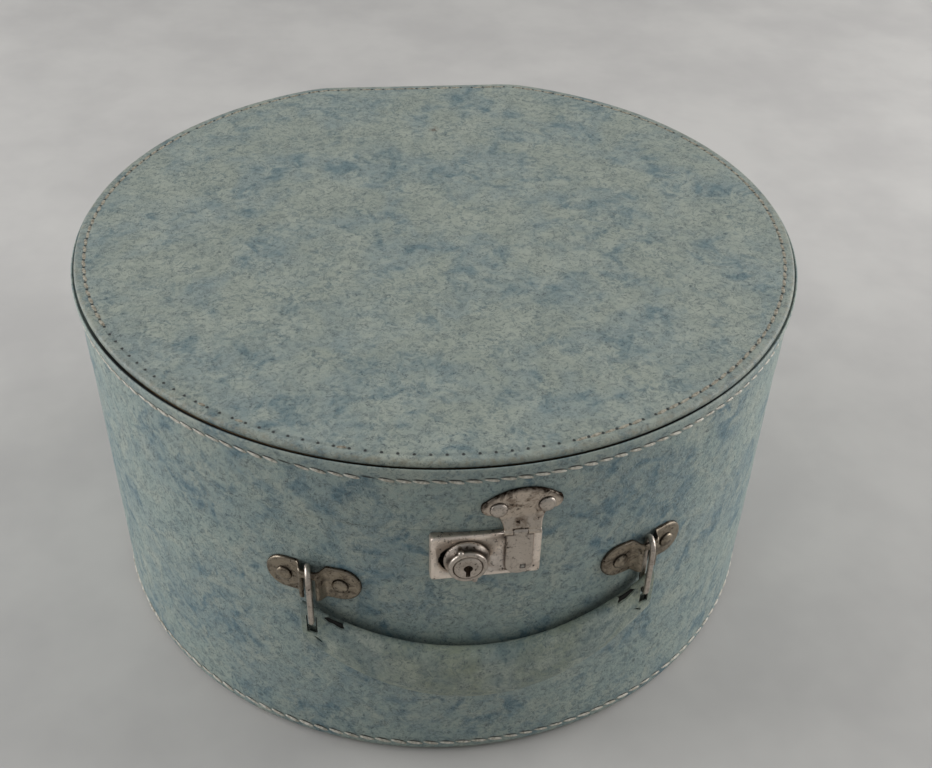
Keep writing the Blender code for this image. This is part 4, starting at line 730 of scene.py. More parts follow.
def rivet_holes(places):
    """A round cutter at each rivet's place."""
    ends = (20 * MM, -20 * MM)
    profile = [(0.0, ends[0]), (RIVET_HOLE, ends[0]), (RIVET_HOLE, ends[1]), (0.0, ends[1])]
    return put_together([(turned(profile, 16), place) for place in places]), IN_PLACE


def lock_window():
    """The opening that the lock's case sits in."""
    return box_shape((-21.1 * MM, -180 * MM, 126.4 * MM), (0.0, -163.7 * MM, 147.2 * MM)), IN_PLACE


four = [(side, step) for side in (-1, 1) for step in (-1, 1)]
rivet_x = [side * HINGE_X + step * HINGE_RIVET_X for side, step in four]
hinge_body_places = [behind(x, HINGE_RIVET_SEAT, 138.5 * MM) for x in rivet_x]
hinge_lid_places = [behind(x, HINGE_RIVET_SEAT, 161.5 * MM) for x in rivet_x]
bracket_places = [
    facing_out(side * BRACKET_ANGLE + step * BRACKET_RIVET_X / BODY_WALL, 0.0, 175.4 * MM, BRACKET_Z)
    for side, step in four
]
hasp_places = [
    facing_out((HASP_X + step * HASP_RIVET_X) / LID_WALL, 0.0, 175.6 * MM, 161.5 * MM)
    for step in (-1, 1)
]
cut_away(body_wall, [rivet_holes(hinge_body_places + bracket_places), lock_window()])

# %% [markdown]
# ## The lid's wall
#
# Above the seam the wall goes straight up, and flares out by 1.6 mm just under the panel, where the
# cover is folded over the board. The fold's thin edge is the most worn place of the box.

# %% Lid wall
RIM_ROW_HEIGHT = 176.7 * MM
RIM_FLARE = 1.6 * MM
RIM_STITCHES = 160


def flare(height):
    """The lid wall's inset at a height: the flare's full size below, and none under the panel."""
    return RIM_FLARE * eased((182.7 * MM - height) / (8.7 * MM))


lid_section = from_mm([(5.2, 150.07, 0.0), (2.2, 150.07, 0.1), (1.8, 150.13, 0.2), (1.64, 150.35, 0.1)])
lid_section += [(RIM_FLARE, 150.8 * MM, 0.0)]
below = even_steps(154 * MM, 174.6 * MM, 3.5 * MM)
lid_section += [(flare(height), height, 0.0) for height in below]
lid_section += [(flare(height), height, 0.05) for height in (175.4 * MM, 176.0 * MM)]
lid_row = len(lid_section)
lid_section += [(flare(RIM_ROW_HEIGHT) + 0.30 * MM, RIM_ROW_HEIGHT, 0.1)]
above = (177.4 * MM, 178.2 * MM, 179.6 * MM, 181.0 * MM)
lid_section += [(flare(height), height, 0.2) for height in above]
# Inside the fold's top and down into the gap under the panel, a wear below 0 is painted shade.
lid_section += from_mm([
    (0.05, 182.0, 0.4), (0.0, 182.8, 0.7), (0.06, 183.3, 0.9), (0.25, 183.6, 1.0),
    (0.5, 183.7, 0.6), (0.8, 183.63, -0.35), (1.04, 183.35, -1.0), (1.1, 182.9, -1.0),
    (1.1, 182.7, -1.0), (2.5, 182.7, -1.0), (2.5, 151.15, 0.0), (5.2, 151.15, 0.0), (5.2, 150.07, 0.0),
])
work, along = bent_round(lid_section)
rim_leatherette = leatherette(
    "rim_leatherette", "#9caba4", "#587986", 1.35, along[lid_row], ROUND / RIM_STITCHES, True, "#aab0a4"
)
lid_wall = finish_mesh("lid_wall", work, rim_leatherette, "lid", ["lid_rim_cover"])
cut_away(lid_wall, [rivet_holes(hinge_lid_places + hasp_places)])

# %% [markdown]
# ## The lid's panel
#
# The top is a separate disc of board in a leatherette skin that sits on the wall's edge. Its rounded
# side shows above the fold, rubbed dull, with a sharp dark gap under it that is painted darker as
# shade. At the left front it has shrunk a little, so the gap is wider. The stitched edge is drawn down
# by a few tenths of a millimetre.

# %% Lid panel
TOP = 186.6 * MM
TOP_ROW_INSET = 6.4 * MM
TOP_STITCHES = 167
SHRUNK = 0.6 * MM
SHRUNK_AT, SHRUNK_WIDTH = math.radians(-44), math.radians(26)


def shrunk_away(place, inset):
    """More inset at the panel's left front edge."""
    if inset > PARALLEL:
        return 0.0
    turn = math.atan2(place[0].x, -place[0].y)
    return SHRUNK * math.exp(-((turn - SHRUNK_AT) / SHRUNK_WIDTH) ** 2) * (1 - inset / PARALLEL)


panel_section = [(RIM_RADIUS, TOP, 0.0)]
panel_section += [(inset * MM, TOP, 0.0) for inset in range(170, 18, -6)]
near_edge = ((15, 0.0), (11, 0.05), (8.4, 0.10), (7.2, 0.18))
panel_section += [(inset * MM, TOP - drop * MM, 0.0) for inset, drop in near_edge]
panel_row = len(panel_section)
panel_section += [(TOP_ROW_INSET, TOP - 0.42 * MM, 0.1)]
# The panel's lower side and underside, seen in the gap over the fold, get painted shade: wear below 0.
rounded_side = (
    (5.6, 0.18, 0.1), (4.4, 0.12, 0.2), (3.4, 0.18, 0.5), (2.6, 0.34, 0.8), (2.05, 0.66, 1.0),
    (1.72, 1.1, 0.8), (1.6, 1.7, 0.6), (1.62, 2.4, 0.2), (1.66, 2.8, -0.5),
)
panel_section += [(inset * MM, TOP - drop * MM, worn) for inset, drop, worn in rounded_side]
panel_section += from_mm([(1.85, 183.5, -1.0), (3.0, 183.05, -1.0), (3.2, 185.7, 0.0)])
panel_section += [(RIM_RADIUS, 185.7 * MM, 0.0)]
work, along = bent_round(panel_section, uneven=0.30 * MM, lean=shrunk_away)
top_leatherette = leatherette(
    "panel_leatherette", "#9fa699", "#5f7a81", 1.2, along[panel_row], ROUND / TOP_STITCHES,
    scuff=(10 * MM, 102 * MM),
)
finish_mesh("lid_panel", work, top_leatherette, "lid", ["lid_top_cover"])

# %% [markdown]
# ## Stitches
#
# Each row is lockstitch in cream linen thread. A stitch is a small ellipsoid, half sunk in its groove
# and turned a little, as the thread climbs from one hole to the next. Some are missing: the panel's
# front and left front have lost nearly all their thread, and the needle holes are left.


# %% Stitch rows
def stitch_row(name, count, place_of, present, size, slant, material, body):
    """Add one row of stitches.

    place_of gives a point, the way along and the way up; present gives a stitch's share of its length.
    """
    work = bmesh.new()
    length, width, thickness = size
    for index in range(count):
        point, along_way, up = place_of((index + 0.5) / count * ROUND)
        share = present(math.degrees(math.atan2(point.x, -point.y)))
        if not share:
            continue
        across = up.cross(along_way)
        turn = Matrix((along_way, across, up)).transposed().to_4x4()
        lean = Matrix.Rotation(math.radians(slant + chance.uniform(-4, 4)), 4, "Z")
        full = length * share * chance.uniform(0.9, 1.02)
        stretch = Matrix.Diagonal((full, width, thickness, 1.0))
        lift = up * (thickness * chance.uniform(0.0, 0.3))
        shift = point + lift + across * (0.12 * MM * chance.uniform(-1, 1))
        lying = Matrix.Rotation(QUARTER, 4, "Y")
        bmesh.ops.create_uvsphere(
            work, u_segments=8, v_segments=6, radius=0.5,
            matrix=Matrix.Translation(shift) @ turn @ lean @ stretch @ lying,
        )
    finish_mesh(name, work, material, body)


def plan_at(distance):
    """The plan's place at a distance round it, between its two nearest places."""
    low, high = 0, len(PLAN) - 1
    while high - low > 1:
        middle = (low + high) // 2
        if PLAN[middle][2] > distance:
            high = middle
        else:
            low = middle
    first, second = PLAN[low], PLAN[high]
    share = (distance - first[2]) / (second[2] - first[2])
    return first[0].lerp(second[0], share), first[1].lerp(second[1], share).normalized(), distance


def wall_place(inset, height):
    """Where a stitch of a wall's row lies at a distance round the box."""
    def place_of(distance):
        place = plan_at(distance)
        x, y = drum_point(place, inset)
        out = way_out(place)
        return Vector((x, y, height)), Vector((-out.y, out.x, 0.0)), out
    return place_of


def panel_place(distance):
    """Where a stitch of the panel's row lies at a distance round the box."""
    place = plan_at(distance)
    x, y = drum_point(place, TOP_ROW_INSET + shrunk_away(place, TOP_ROW_INSET))
    out = way_out(place)
    return Vector((x, y, TOP - 0.34 * MM)), Vector((-out.y, out.x, 0.0)), Vector((0.0, 0.0, 1.0))


# %% Which stitches are left
def kept_on_base(turn):
    """All of them."""
    return 1.0


def kept_on_rim(turn):
    """All but one or two at each of two places at the left front."""
    return 0.0 if -28.6 < turn < -26.4 or -17.2 < turn < -15.2 else 1.0


def kept_on_panel(turn):
    """Nearly all at the right, at the back and at the far left, and a few bits at the left front."""
    if -66 < turn < -50 or -16 < turn < 11:
        return 0.0
    if -50 <= turn <= -16:
        return 0.7 if chance.random() < 0.25 else 0.0
    return 1.0 if chance.random() < 0.94 else 0.0


base_place = wall_place(2.3 * MM, BASE_ROW_HEIGHT)
rim_place = wall_place(flare(RIM_ROW_HEIGHT) + 0.25 * MM, RIM_ROW_HEIGHT)
base_thread = (8.0 * MM, 1.6 * MM, 1.3 * MM)
rim_thread = (7.2 * MM, 1.55 * MM, 1.25 * MM)
panel_thread = (5.6 * MM, 1.7 * MM, 0.6 * MM)
stitch_row(
    "base_stitches", BASE_STITCHES, base_place, kept_on_base, base_thread, -11.0, THREAD, "body"
)
stitch_row(
    "rim_stitches", RIM_STITCHES, rim_place, kept_on_rim, rim_thread, -11.0, THREAD, "lid"
)
stitch_row(
    "panel_stitches", TOP_STITCHES, panel_place, kept_on_panel, panel_thread, 8.0, OLD_THREAD, "lid"
)

# %% [markdown]
# ## Linings, boards and strips
#
# Inside, the wall and floor are lined in cream cloth, and a collar of covered board stands up behind
# the seam to locate the lid. They are plain sections bent round the same plan.


# %% Linings
def ring(inset, thickness, low, high):
    """The section of a plain band, from sizes in millimetres."""
    outer, inner = inset * MM, inset * MM + thickness * MM
    low, high = low * MM, high * MM
    return [(x, z, 0.0) for x, z in (
        (outer, low), (outer, high), (inner, high), (inner, low), (outer, low),
    )]


def disc(inset, low, high):
    """The section of a plain disc with softened edges, from sizes in millimetres."""
    edge, low, high = inset * MM, low * MM, high * MM
    soft = 0.2 * MM
    return [(x, z, 0.0) for x, z in (
        (RIM_RADIUS, high), (RIM_RADIUS / 2, high), (edge + 1 * MM, high), (edge, high - soft),
        (edge, low + soft), (edge + 1 * MM, low), (RIM_RADIUS / 2, low), (RIM_RADIUS, low),
    )]


linings = (
    ("wall_lining", ring(7.0, 0.8, 5.0, 117.7), "body", "body_lining"),
    ("collar", ring(5.9, 1.8, 118.0, 158.0), "body", "body_collar"),
    ("floor_lining", disc(8.1, 5.0, 5.8), "body", "base_lining"),
    ("rim_lining", ring(6.6, 0.8, 159.0, 181.6), "lid", "lid_rim_lining"),
    ("panel_lining", disc(7.7, 180.8, 181.6), "lid", "lid_top_lining"),
)
lined = {}
for name, section, body, stands_for in linings:
    work, _ = bent_round(section)
    lined[name] = finish_mesh(name, work, LINING, body, [stands_for])
cut_away(lined["collar"], [rivet_holes(hinge_body_places), lock_window()])

# %% Underside
base_leatherette = leatherette("base_leatherette", "#87908b", "#6f8390")
work, _ = bent_round(disc(4.4, 0.0, 0.9))
finish_mesh("base_skin", work, base_leatherette, "body", ["base_cover"])

# %% [markdown]
# ## Rivets
#
# Flat-domed tubular rivets hold every fitting. One profile is spun for the head, the shank and the
# clinched end, with the length between them that its own stack of layers needs.


# %% Rivets
def rivet(grip):
    """One rivet; grip is the thickness of what it holds together."""
    head = from_mm([
        (0.0, 1.5), (1.1, 1.46), (2.1, 1.30), (2.9, 1.0), (3.4, 0.62), (3.66, 0.25), (3.7, 0.0), (1.4, 0.0),
    ])
    clinched = from_mm([(1.4, 0.0), (2.3, 0.0), (2.4, -0.15), (2.1, -0.5), (0.0, -0.5)])
    return turned(head + [(radius, height - grip) for radius, height in clinched], 40)


def shaded_rim(work, radius):
    """Mark what lies beyond a radius from Z for painted shade, a dark ring where the head meets the plate.
    """
    wear_and_shade = work.verts.layers.float.new("wear_and_shade")
    for vertex in work.verts:
        vertex[wear_and_shade] = -0.9 if math.hypot(vertex.co.x, vertex.co.y) > radius else 0.0
    return work


def rivets(name, grip, places, material, body, stands_for):
    """A set of equal rivets as one piece."""
    work = put_together([(shaded_rim(rivet(grip), 3.5 * MM), place) for place in places])
    finish_mesh(name, work, material, body, stands_for)


def numbered(start):
    """Four names that end in a number."""
    return [f"{start}_{index}" for index in (1, 2, 3, 4)]


hasp_rivets = ["hasp_rivet_left", "hasp_rivet_right"]
rivets("hinge_rivets_on_body", 8.0 * MM, hinge_body_places, NICKEL, "body", numbered("hinge_rivet_body"))
rivets("hinge_rivets_on_lid", 5.5 * MM, hinge_lid_places, NICKEL, "lid", numbered("hinge_rivet_lid"))
rivets("hasp_rivets", 5.9 * MM, hasp_places, NICKEL, "lid", hasp_rivets)
rivets("bracket_rivets", 6.1 * MM, bracket_places, DARK_NICKEL, "body", numbered("bracket_rivet"))

# %% [markdown]
# ## Bent plates
#
# The bracket, hasp and tongue are pressed from sheet. Each starts as one flat face with its outline,
# is pushed up to its thickness and gets its upper edge rounded by a bevel. The bracket and the hasp
# are also sliced, so that they can be bent over the drum. The edges are marked as worn, because
# tarnish starts there.


# %% Plates
def pressed_plate(outline, thickness, rounding, slices_x=(), slices_y=(), segments=4):
    """A flat outline with a thickness and a rounded upper edge; x is across, y is up and z is out."""
    work = pushed_up(outline, 0.0, thickness)
    wear_and_shade = work.verts.layers.float.new("wear_and_shade")
    rim = [
        edge for edge in work.edges
        if all(abs(vertex.co.z - thickness) < 1e-7 for vertex in edge.verts)
    ]
    bmesh.ops.bevel(
        work, geom=rim, offset=rounding, segments=segments, profile=0.5, affect="EDGES", material=-1,
        clamp_overlap=True,
    )
    for places, normal in ((slices_x, (1, 0, 0)), (slices_y, (0, 1, 0))):
        for place in places:
            everything = work.verts[:] + work.edges[:] + work.faces[:]
            point = tuple(place * axis for axis in normal)
            bmesh.ops.bisect_plane(work, geom=everything, dist=1e-7, plane_co=point, plane_no=normal)
    bmesh.ops.recalc_face_normals(work, faces=work.faces)
    for vertex in work.verts:
        above = clamped((vertex.co.z - thickness * 0.3) / (thickness * 0.7))
        vertex[wear_and_shade] = 0.1 + 0.9 * (1 - above) ** 0.7
    return work


# %% [markdown]
# ## Handle brackets
#
# A bracket is a round-ended plate, 43 by 18 mm, with a bridge pressed up in its middle. The link hangs
# from the bar at the top of the bridge, where a slot lets the link swing.

# %% Brackets
def bracket_half(x):
    """Half the bracket's height: 9 mm at its ends, 8 mm in its waist."""
    return 8.0 * MM + 1.0 * MM * eased(abs(x) / (6.7 * MM))


def bracket_outline():
    """Two round ends, a straight upper edge, and a slot from below up to the bar."""
    across = [BRACKET_RIVET_X * (1 - 2 * step / 16) for step in range(1, 16)]
    end, slot, bar = 9.0 * MM, 2.7 * MM, 4.0 * MM
    outline = arc(BRACKET_RIVET_X, 0.0, end, -QUARTER, QUARTER, 20)
    outline += [(x, bracket_half(x)) for x in across]
    outline += arc(-BRACKET_RIVET_X, 0.0, end, QUARTER, 3 * QUARTER, 20)
    outline += [(-x, -bracket_half(x)) for x in across if x > slot + 0.5 * MM]
    outline += [(-slot, -bracket_half(slot)), (-slot, bar), (slot, bar), (slot, -bracket_half(slot))]
    outline += [(-x, -bracket_half(x)) for x in across if x < -slot - 0.5 * MM]
    return outline


def bridge(across):
    """How far the middle of a bracket is pressed up."""
    return 4.2 * MM * (1 - eased((abs(across) - 3.7 * MM) / (3.0 * MM)))


for side, sign in (("left", -1), ("right", 1)):
    slices = even_steps(-21.5 * MM, 21.5 * MM, 1.0 * MM)[1:-1]
    work = pressed_plate(bracket_outline(), 1.6 * MM, 1.35 * MM, slices, segments=6)
    wear_and_shade = work.verts.layers.float["wear_and_shade"]
    for vertex in work.verts:
        across, up, out = vertex.co
        # Painted shade, mixed with tarnish, on the bracket's back and the foot of its upper edge.
        if out < 1.0 * MM and up > 3 * MM:
            vertex[wear_and_shade] = -0.85
        turn = sign * BRACKET_ANGLE + across / (173.5 * MM)
        radius = 173.5 * MM + out + bridge(across)
        vertex.co = (radius * math.sin(turn), -radius * math.cos(turn), BRACKET_Z + up)
    finish_mesh(f"bracket_{side}", work, DARK_NICKEL, "body", [f"handle_bracket_{side}"])

# %% [markdown]
# ## Hasp
#
# The hasp's plate is a fan with two rivets. Its neck is cranked out to the hinge line, level with the
# seam, where the tongue hangs on a pin between two knuckles.


# %% Knuckles
def knuckle(start, end, radius, bore, soft, steps, pin):
    """A rolled knuckle with softened ends, from start to end along a pin that lies along X."""
    half = (end - start) / 2
    shape = turned([
        (bore, half), (radius - soft, half), (radius, half - soft),
        (radius, -half + soft), (radius - soft, -half), (bore, -half),
    ], steps, closed=True)
    x, y, z = pin
    place = Matrix.Translation((x + (start + end) / 2, y, z)) @ Matrix.Rotation(QUARTER, 4, "Y")
    return shape, place


# %% Hasp plate
SEAM_RISE = 0.7 * MM
HINGE_OUT = 177.2 * MM
HINGE_Z = 150.7 * MM
NOTCH_HALF = 2.95 * MM
NOTCH_TOP = 2.2 * MM
FAN_HALF, FAN_TOP, FAN_RADIUS = 16.9 * MM, 21.2 * MM, 21.5 * MM
TIP_RADIUS, TIP_Y = 4.0 * MM, 12.2 * MM


def hasp_outline():
    """Fan and neck, about the fan's middle line and from the seam up, with a notch for the tongue."""
    tip_x, middle = FAN_HALF - TIP_RADIUS, FAN_TOP - FAN_RADIUS
    tip_turn = math.atan2(TIP_Y - middle, tip_x)
    neck = [(7.7 * MM, SEAM_RISE)] + from_mm([(7.7, 2.4), (8.1, 4.2), (9.0, 5.9), (10.2, 7.4)])
    side = neck + arc(tip_x, TIP_Y, TIP_RADIUS, -QUARTER * 0.75, tip_turn, 12)
    side += arc(0.0, middle, FAN_RADIUS, tip_turn, QUARTER, 20)[1:]
    left, right = TONGUE_X - HASP_X - NOTCH_HALF, TONGUE_X - HASP_X + NOTCH_HALF
    notch = [(left, SEAM_RISE), (left, NOTCH_TOP), (right, NOTCH_TOP), (right, SEAM_RISE)]
    return notch + side + [(-x, y) for x, y in reversed(side[:-1])]


def hasp_knuckle(start, end):
    """A knuckle on the hasp's pin."""
    return knuckle(start, end, 1.4 * MM, 0.7 * MM, 0.15 * MM, 24, (TONGUE_X, -HINGE_OUT, HINGE_Z))


slices_x = even_steps(-3.5 * MM, 30.2 * MM, 1.1 * MM)[1:-1]
slices_y = even_steps(1.2 * MM, 9.4 * MM, 0.8 * MM)[1:-1]
outline = [(HASP_X + x, y) for x, y in hasp_outline()]
work = pressed_plate(outline, 1.4 * MM, 0.9 * MM, slices_x, slices_y)
wear_and_shade = work.verts.layers.float["wear_and_shade"]
for vertex in work.verts:
    across, up, out = vertex.co
    # Painted shade, mixed with rust, on the fan's back and edges above the neck.
    if out < 1.3 * MM and up > 6 * MM:
        vertex[wear_and_shade] = -0.9
    turn = across / LID_WALL
    radius = LID_WALL + 0.3 * MM + out
    on_wall = Vector((radius * math.sin(turn), -radius * math.cos(turn), SEAM + up))
    flat = Vector((across, -(HINGE_OUT - 0.7 * MM + out), SEAM + up))
    vertex.co = flat.lerp(on_wall, eased((up - 1.5 * MM) / (6.0 * MM)))
work = put_together([
    (work, IN_PLACE), hasp_knuckle(-6.7 * MM, -3.1 * MM), hasp_knuckle(3.1 * MM, 8.5 * MM),
])
finish_mesh("hasp_fan", work, STAINED_AND_SHADED_NICKEL, "lid", ["hasp_plate"])

# %% Tongue
TONGUE_HALF = 5.6 * MM
outline = arc(0.0, -24.2 * MM + TONGUE_HALF, TONGUE_HALF, math.pi, 2 * math.pi, 24)
outline += [(TONGUE_HALF, -1.8 * MM), (2.8 * MM, -1.8 * MM), (2.8 * MM, 0.0)]
outline += [(-2.8 * MM, 0.0), (-2.8 * MM, -1.8 * MM), (-TONGUE_HALF, -1.8 * MM)]
plate = pressed_plate(outline, 1.2 * MM, 0.5 * MM)
plate = put_together([(plate, facing_out(0.0, TONGUE_X, 176.6 * MM, HINGE_Z))])
shank_hole = box_shape((13.0 * MM, -180 * MM, 129.4 * MM), (15.4 * MM, -176 * MM, 131.8 * MM))
plate = cut_shape(plate, [(shank_hole, IN_PLACE)])
work = put_together([(plate, IN_PLACE), hasp_knuckle(-2.8 * MM, 2.8 * MM)])
finish_mesh("tongue", work, NICKEL, "tongue", ["hasp_tongue"])

# %% [markdown]
# ## Lock plate
#
# The plate is a shallow pressed tray, 46 by 24 mm, whose sides reach back to the round wall. It is a
# block with rounded corners and a rounded front edge, hollowed from behind, with a slot for the
# barrel, an open slot for the tongue's hook, and its back trimmed to the drum.

# %% Lock plate
LOCK_Z = 136.8 * MM
LOCK_LEFT, LOCK_RIGHT = -23.8 * MM, 21.9 * MM
LOCK_FACE = 176.2 * MM
BARREL_X = -9.1 * MM
work = box_shape((LOCK_LEFT, -LOCK_FACE, LOCK_Z - 12 * MM), (LOCK_RIGHT, -171.5 * MM, LOCK_Z + 12 * MM))
upright = [edge for edge in work.edges if abs(edge.verts[0].co.y - edge.verts[1].co.y) > 1 * MM]
bmesh.ops.bevel(
    work, geom=upright, offset=1.8 * MM, segments=6, profile=0.5, affect="EDGES", material=-1
)
front = [
    edge for edge in work.edges
    if all(vertex.co.y < -LOCK_FACE + 0.01 * MM for vertex in edge.verts)
]
bmesh.ops.bevel(
    work, geom=front, offset=1.1 * MM, segments=5, profile=0.5, affect="EDGES", material=-1
)
wear_and_shade = work.verts.layers.float.new("wear_and_shade")
for vertex in work.verts:
    # The sides are lightly tarnished; the left side is painted darker as its shade.
    tarnish_and_side_shade = 0.9 if vertex.co.x < LOCK_LEFT + MM else 0.15
    vertex[wear_and_shade] = min(1.0, (vertex.co.y + LOCK_FACE) / (1.6 * MM)) * tarnish_and_side_shade
lock_tray = finish_mesh("lock_tray", work, PITTED_NICKEL, "body", ["lock_plate"])

# %% Openings of the lock plate
inside = box_shape(
    (LOCK_LEFT + MM, -175.2 * MM, LOCK_Z - 11 * MM), (LOCK_RIGHT - MM, -160 * MM, LOCK_Z + 11 * MM)
)
drum_round = turned(from_mm([(0.0, 160), (173.5, 160), (173.5, 110), (0.0, 110)]), 240)
slot = arc(BARREL_X, 0.0, 7.3 * MM, -QUARTER, QUARTER, 20)
rusted = arc(BARREL_X - 4.0 * MM, 0.0, 7.3 * MM, QUARTER, 3 * QUARTER, 20)
slot += [(x + chance.uniform(-0.25, 0.25) * MM, y) for x, y in rusted]
barrel_slot = pushed_up(slot, -6 * MM, 0.0)
hook_slot = box_shape((12.2 * MM, -180 * MM, 127.5 * MM), (16.2 * MM, -171 * MM, 152 * MM))
cut_away(lock_tray, [
    (inside, IN_PLACE), (drum_round, IN_PLACE),
    (barrel_slot, facing_out(0.0, 0.0, 180 * MM, LOCK_Z)), (hook_slot, IN_PLACE),
])

# %% [markdown]
# ## Barrel and key cylinder
#
# The barrel is a turned pusher with two ribs for the thumb; the key cylinder turns inside it. Turned
# parts are spun, and the keyhole is cut with a round and a slot.

# %% Barrel
BARREL_OUT = 176.5 * MM
RIB_OUT = 8.2 * MM
barrel_place = facing_out(0.0, BARREL_X, BARREL_OUT, LOCK_Z)
barrel = turned(from_mm([
    (6.15, 5.3), (6.35, 5.6), (6.6, 5.7), (7.3, 5.68), (7.75, 5.5), (8.05, 5.1), (8.1, 4.5),
    (8.05, 3.8), (8.3, 2.9), (8.7, 1.9), (9.2, 1.3), (9.45, 0.9), (9.5, 0.45), (9.4, 0.0),
    (7.0, 0.0), (7.0, -1.3), (6.15, -1.3),
]), 96, closed=True)
rib_profile = from_mm([
    (0.0, 5.9), (0.5, 5.82), (1.0, 5.5), (1.25, 5.0), (1.3, 4.4), (1.2, 3.6), (1.1, 2.6),
    (1.1, 0.4), (0.0, 0.4),
])
shapes = [(barrel, barrel_place)]
for turn in (math.radians(111), math.radians(291)):
    shift = Matrix.Translation((RIB_OUT * math.cos(turn), RIB_OUT * math.sin(turn), 0.0))
    shapes.append((turned(rib_profile, 20), barrel_place @ shift))
work = put_together(shapes)

# The upper half of the cone between rim and flange is painted dark: a painted reflection of dark
# surroundings.
wear_and_shade = work.verts.layers.float.new("wear_and_shade")
for vertex in work.verts:
    out = -vertex.co.y - BARREL_OUT
    upper = clamped((vertex.co.z - LOCK_Z) / (5 * MM) + 0.45)
    cone = clamped((5.0 * MM - out) / MM) * clamped((out - 1.2 * MM) / MM)
    vertex[wear_and_shade] = -cone * upper
finish_mesh("barrel", work, NICKEL, "latch", ["latch_barrel"])

# %% Key cylinder
KEYHOLE_RADIUS, KEYHOLE_HALF = 1.9 * MM, 0.95 * MM
cylinder_place = facing_out(0.0, BARREL_X, 168.5 * MM, LOCK_Z)
profile = from_mm([
    (0.0, 14.0), (4.0, 14.0), (5.2, 13.95), (5.6, 13.8), (5.82, 13.5), (5.9, 13.1), (5.9, 0.0), (0.0, 0.0),
])
work = put_together([(turned(profile, 72), cylinder_place)])
cylinder = finish_mesh("key_barrel", work, NICKEL, "key", ["key_cylinder"])
meet = math.asin(KEYHOLE_HALF / KEYHOLE_RADIUS)
keyhole = arc(0.0, 0.0, KEYHOLE_RADIUS, -QUARTER + meet, 3 * QUARTER - meet, 24)
keyhole += [(-KEYHOLE_HALF, -4.6 * MM), (KEYHOLE_HALF, -4.6 * MM)]
cut_away(cylinder, [(pushed_up(keyhole, 7 * MM, 19 * MM), cylinder_place)])

# %% [markdown]
# ## Rear hinges
#
# Two plain butt hinges sit on the flat back. A leaf is a plate with softened edges and one or two
# knuckles; the pins keep their solids.


# %% Hinges
LEAF_BACK = 159.945 * MM
LEAF_HALF = 13.5 * MM
HINGE_ROLL = 2.4 * MM
LOWER_LEAF = (147.0 * MM, 134.0 * MM, 146.7 * MM, 149.9 * MM)
UPPER_LEAF = (153.0 * MM, 166.0 * MM, 150.1 * MM, 153.1 * MM)


def hinge_leaf(name, centre_x, heights, knuckles, body, stands_for):
    """A leaf; heights are its near edge, its rounded far edge, and the webs' lower and upper ends."""
    near, far, web_low, web_high = heights
    front = LEAF_BACK + MM
    low, high = min(near, far), max(near, far)
    plate = box_shape((centre_x - LEAF_HALF, LEAF_BACK, low), (centre_x + LEAF_HALF, front, high))
    corners = [
        edge for edge in plate.edges
        if all(abs(vertex.co.z - far) < 0.01 * MM for vertex in edge.verts)
        and abs(edge.verts[0].co.y - edge.verts[1].co.y) > 0.5 * MM
    ]
    bmesh.ops.bevel(
        plate, geom=corners, offset=3 * MM, segments=6, profile=0.5, affect="EDGES", material=-1
    )
    outer = [
        edge for edge in plate.edges
        if all(vertex.co.y > front - 0.1 * MM for vertex in edge.verts)
    ]
    bmesh.ops.bevel(
        plate, geom=outer, offset=0.3 * MM, segments=3, profile=0.5, affect="EDGES", material=-1
    )
    shapes = [(plate, IN_PLACE)]
    pin = (centre_x, LEAF_BACK + HINGE_ROLL, SEAM)
    for start, end in knuckles:
        shapes.append(knuckle(start, end, HINGE_ROLL, 1.3 * MM, 0.2 * MM, 32, pin))
        web = box_shape((centre_x + start, LEAF_BACK, web_low), (centre_x + end, front, web_high))
        shapes.append((web, IN_PLACE))
    work = put_together([(shape, BACK_TURN @ place) for shape, place in shapes])
    finish_mesh(name, work, NICKEL, body, [stands_for])


outer_knuckles = ((-LEAF_HALF, -4.7 * MM), (4.7 * MM, LEAF_HALF))
middle_knuckle = ((-4.3 * MM, 4.3 * MM),)
for side, sign in (("left", -1), ("right", 1)):
    x = sign * HINGE_X
    hinge_leaf(f"lower_leaf_{side}", x, LOWER_LEAF, outer_knuckles, "body", f"hinge_body_leaf_{side}")
    hinge_leaf(f"upper_leaf_{side}", x, UPPER_LEAF, middle_knuckle, "lid", f"hinge_lid_leaf_{side}")

# %% [markdown]
# ## Links
#
# Each link is a closed loop of 2.6 mm wire. A curve with a round bevel is the plain way to bend wire,
# and it is made a mesh at once.


# %% Wire links
LINK_X = 73.455 * MM
LINK_Y = -162.686 * MM
LINK_TOP, LINK_BOTTOM = 119.5 * MM, 96.3 * MM
LINK_BEND = 4.0 * MM


def wire_loop(name, x, stands_for):
    """A closed loop of wire in the plane of an x, with a round bend at the top and at the bottom."""
    loop = arc(LINK_Y, LINK_TOP, LINK_BEND, 0.0, math.pi, 16)
    loop += arc(LINK_Y, LINK_BOTTOM, LINK_BEND, math.pi, 2 * math.pi, 16)
    curve = bpy.data.curves.new(name, "CURVE")
    curve.dimensions = "3D"
    curve.bevel_depth = 1.3 * MM
    curve.bevel_resolution = 6
    spline = curve.splines.new("POLY")
    spline.points.add(len(loop) - 1)
    for point, (y, height) in zip(spline.points, loop):
        point.co = (x, y, height, 1.0)
    spline.use_cyclic_u = True
    helper = bpy.data.objects.new("wire", curve)
    bpy.context.scene.collection.objects.link(helper)
    bpy.context.view_layer.update()
    graph = bpy.context.evaluated_depsgraph_get()
    mesh = bpy.data.meshes.new_from_object(helper.evaluated_get(graph))
    bpy.data.objects.remove(helper)
    work = bmesh.new()
    work.from_mesh(mesh)
    bpy.data.meshes.remove(mesh)
    bmesh.ops.remove_doubles(work, verts=work.verts, dist=SAME_POINT / 2)
    finish_mesh(name, work, NICKEL, "handle", [stands_for])


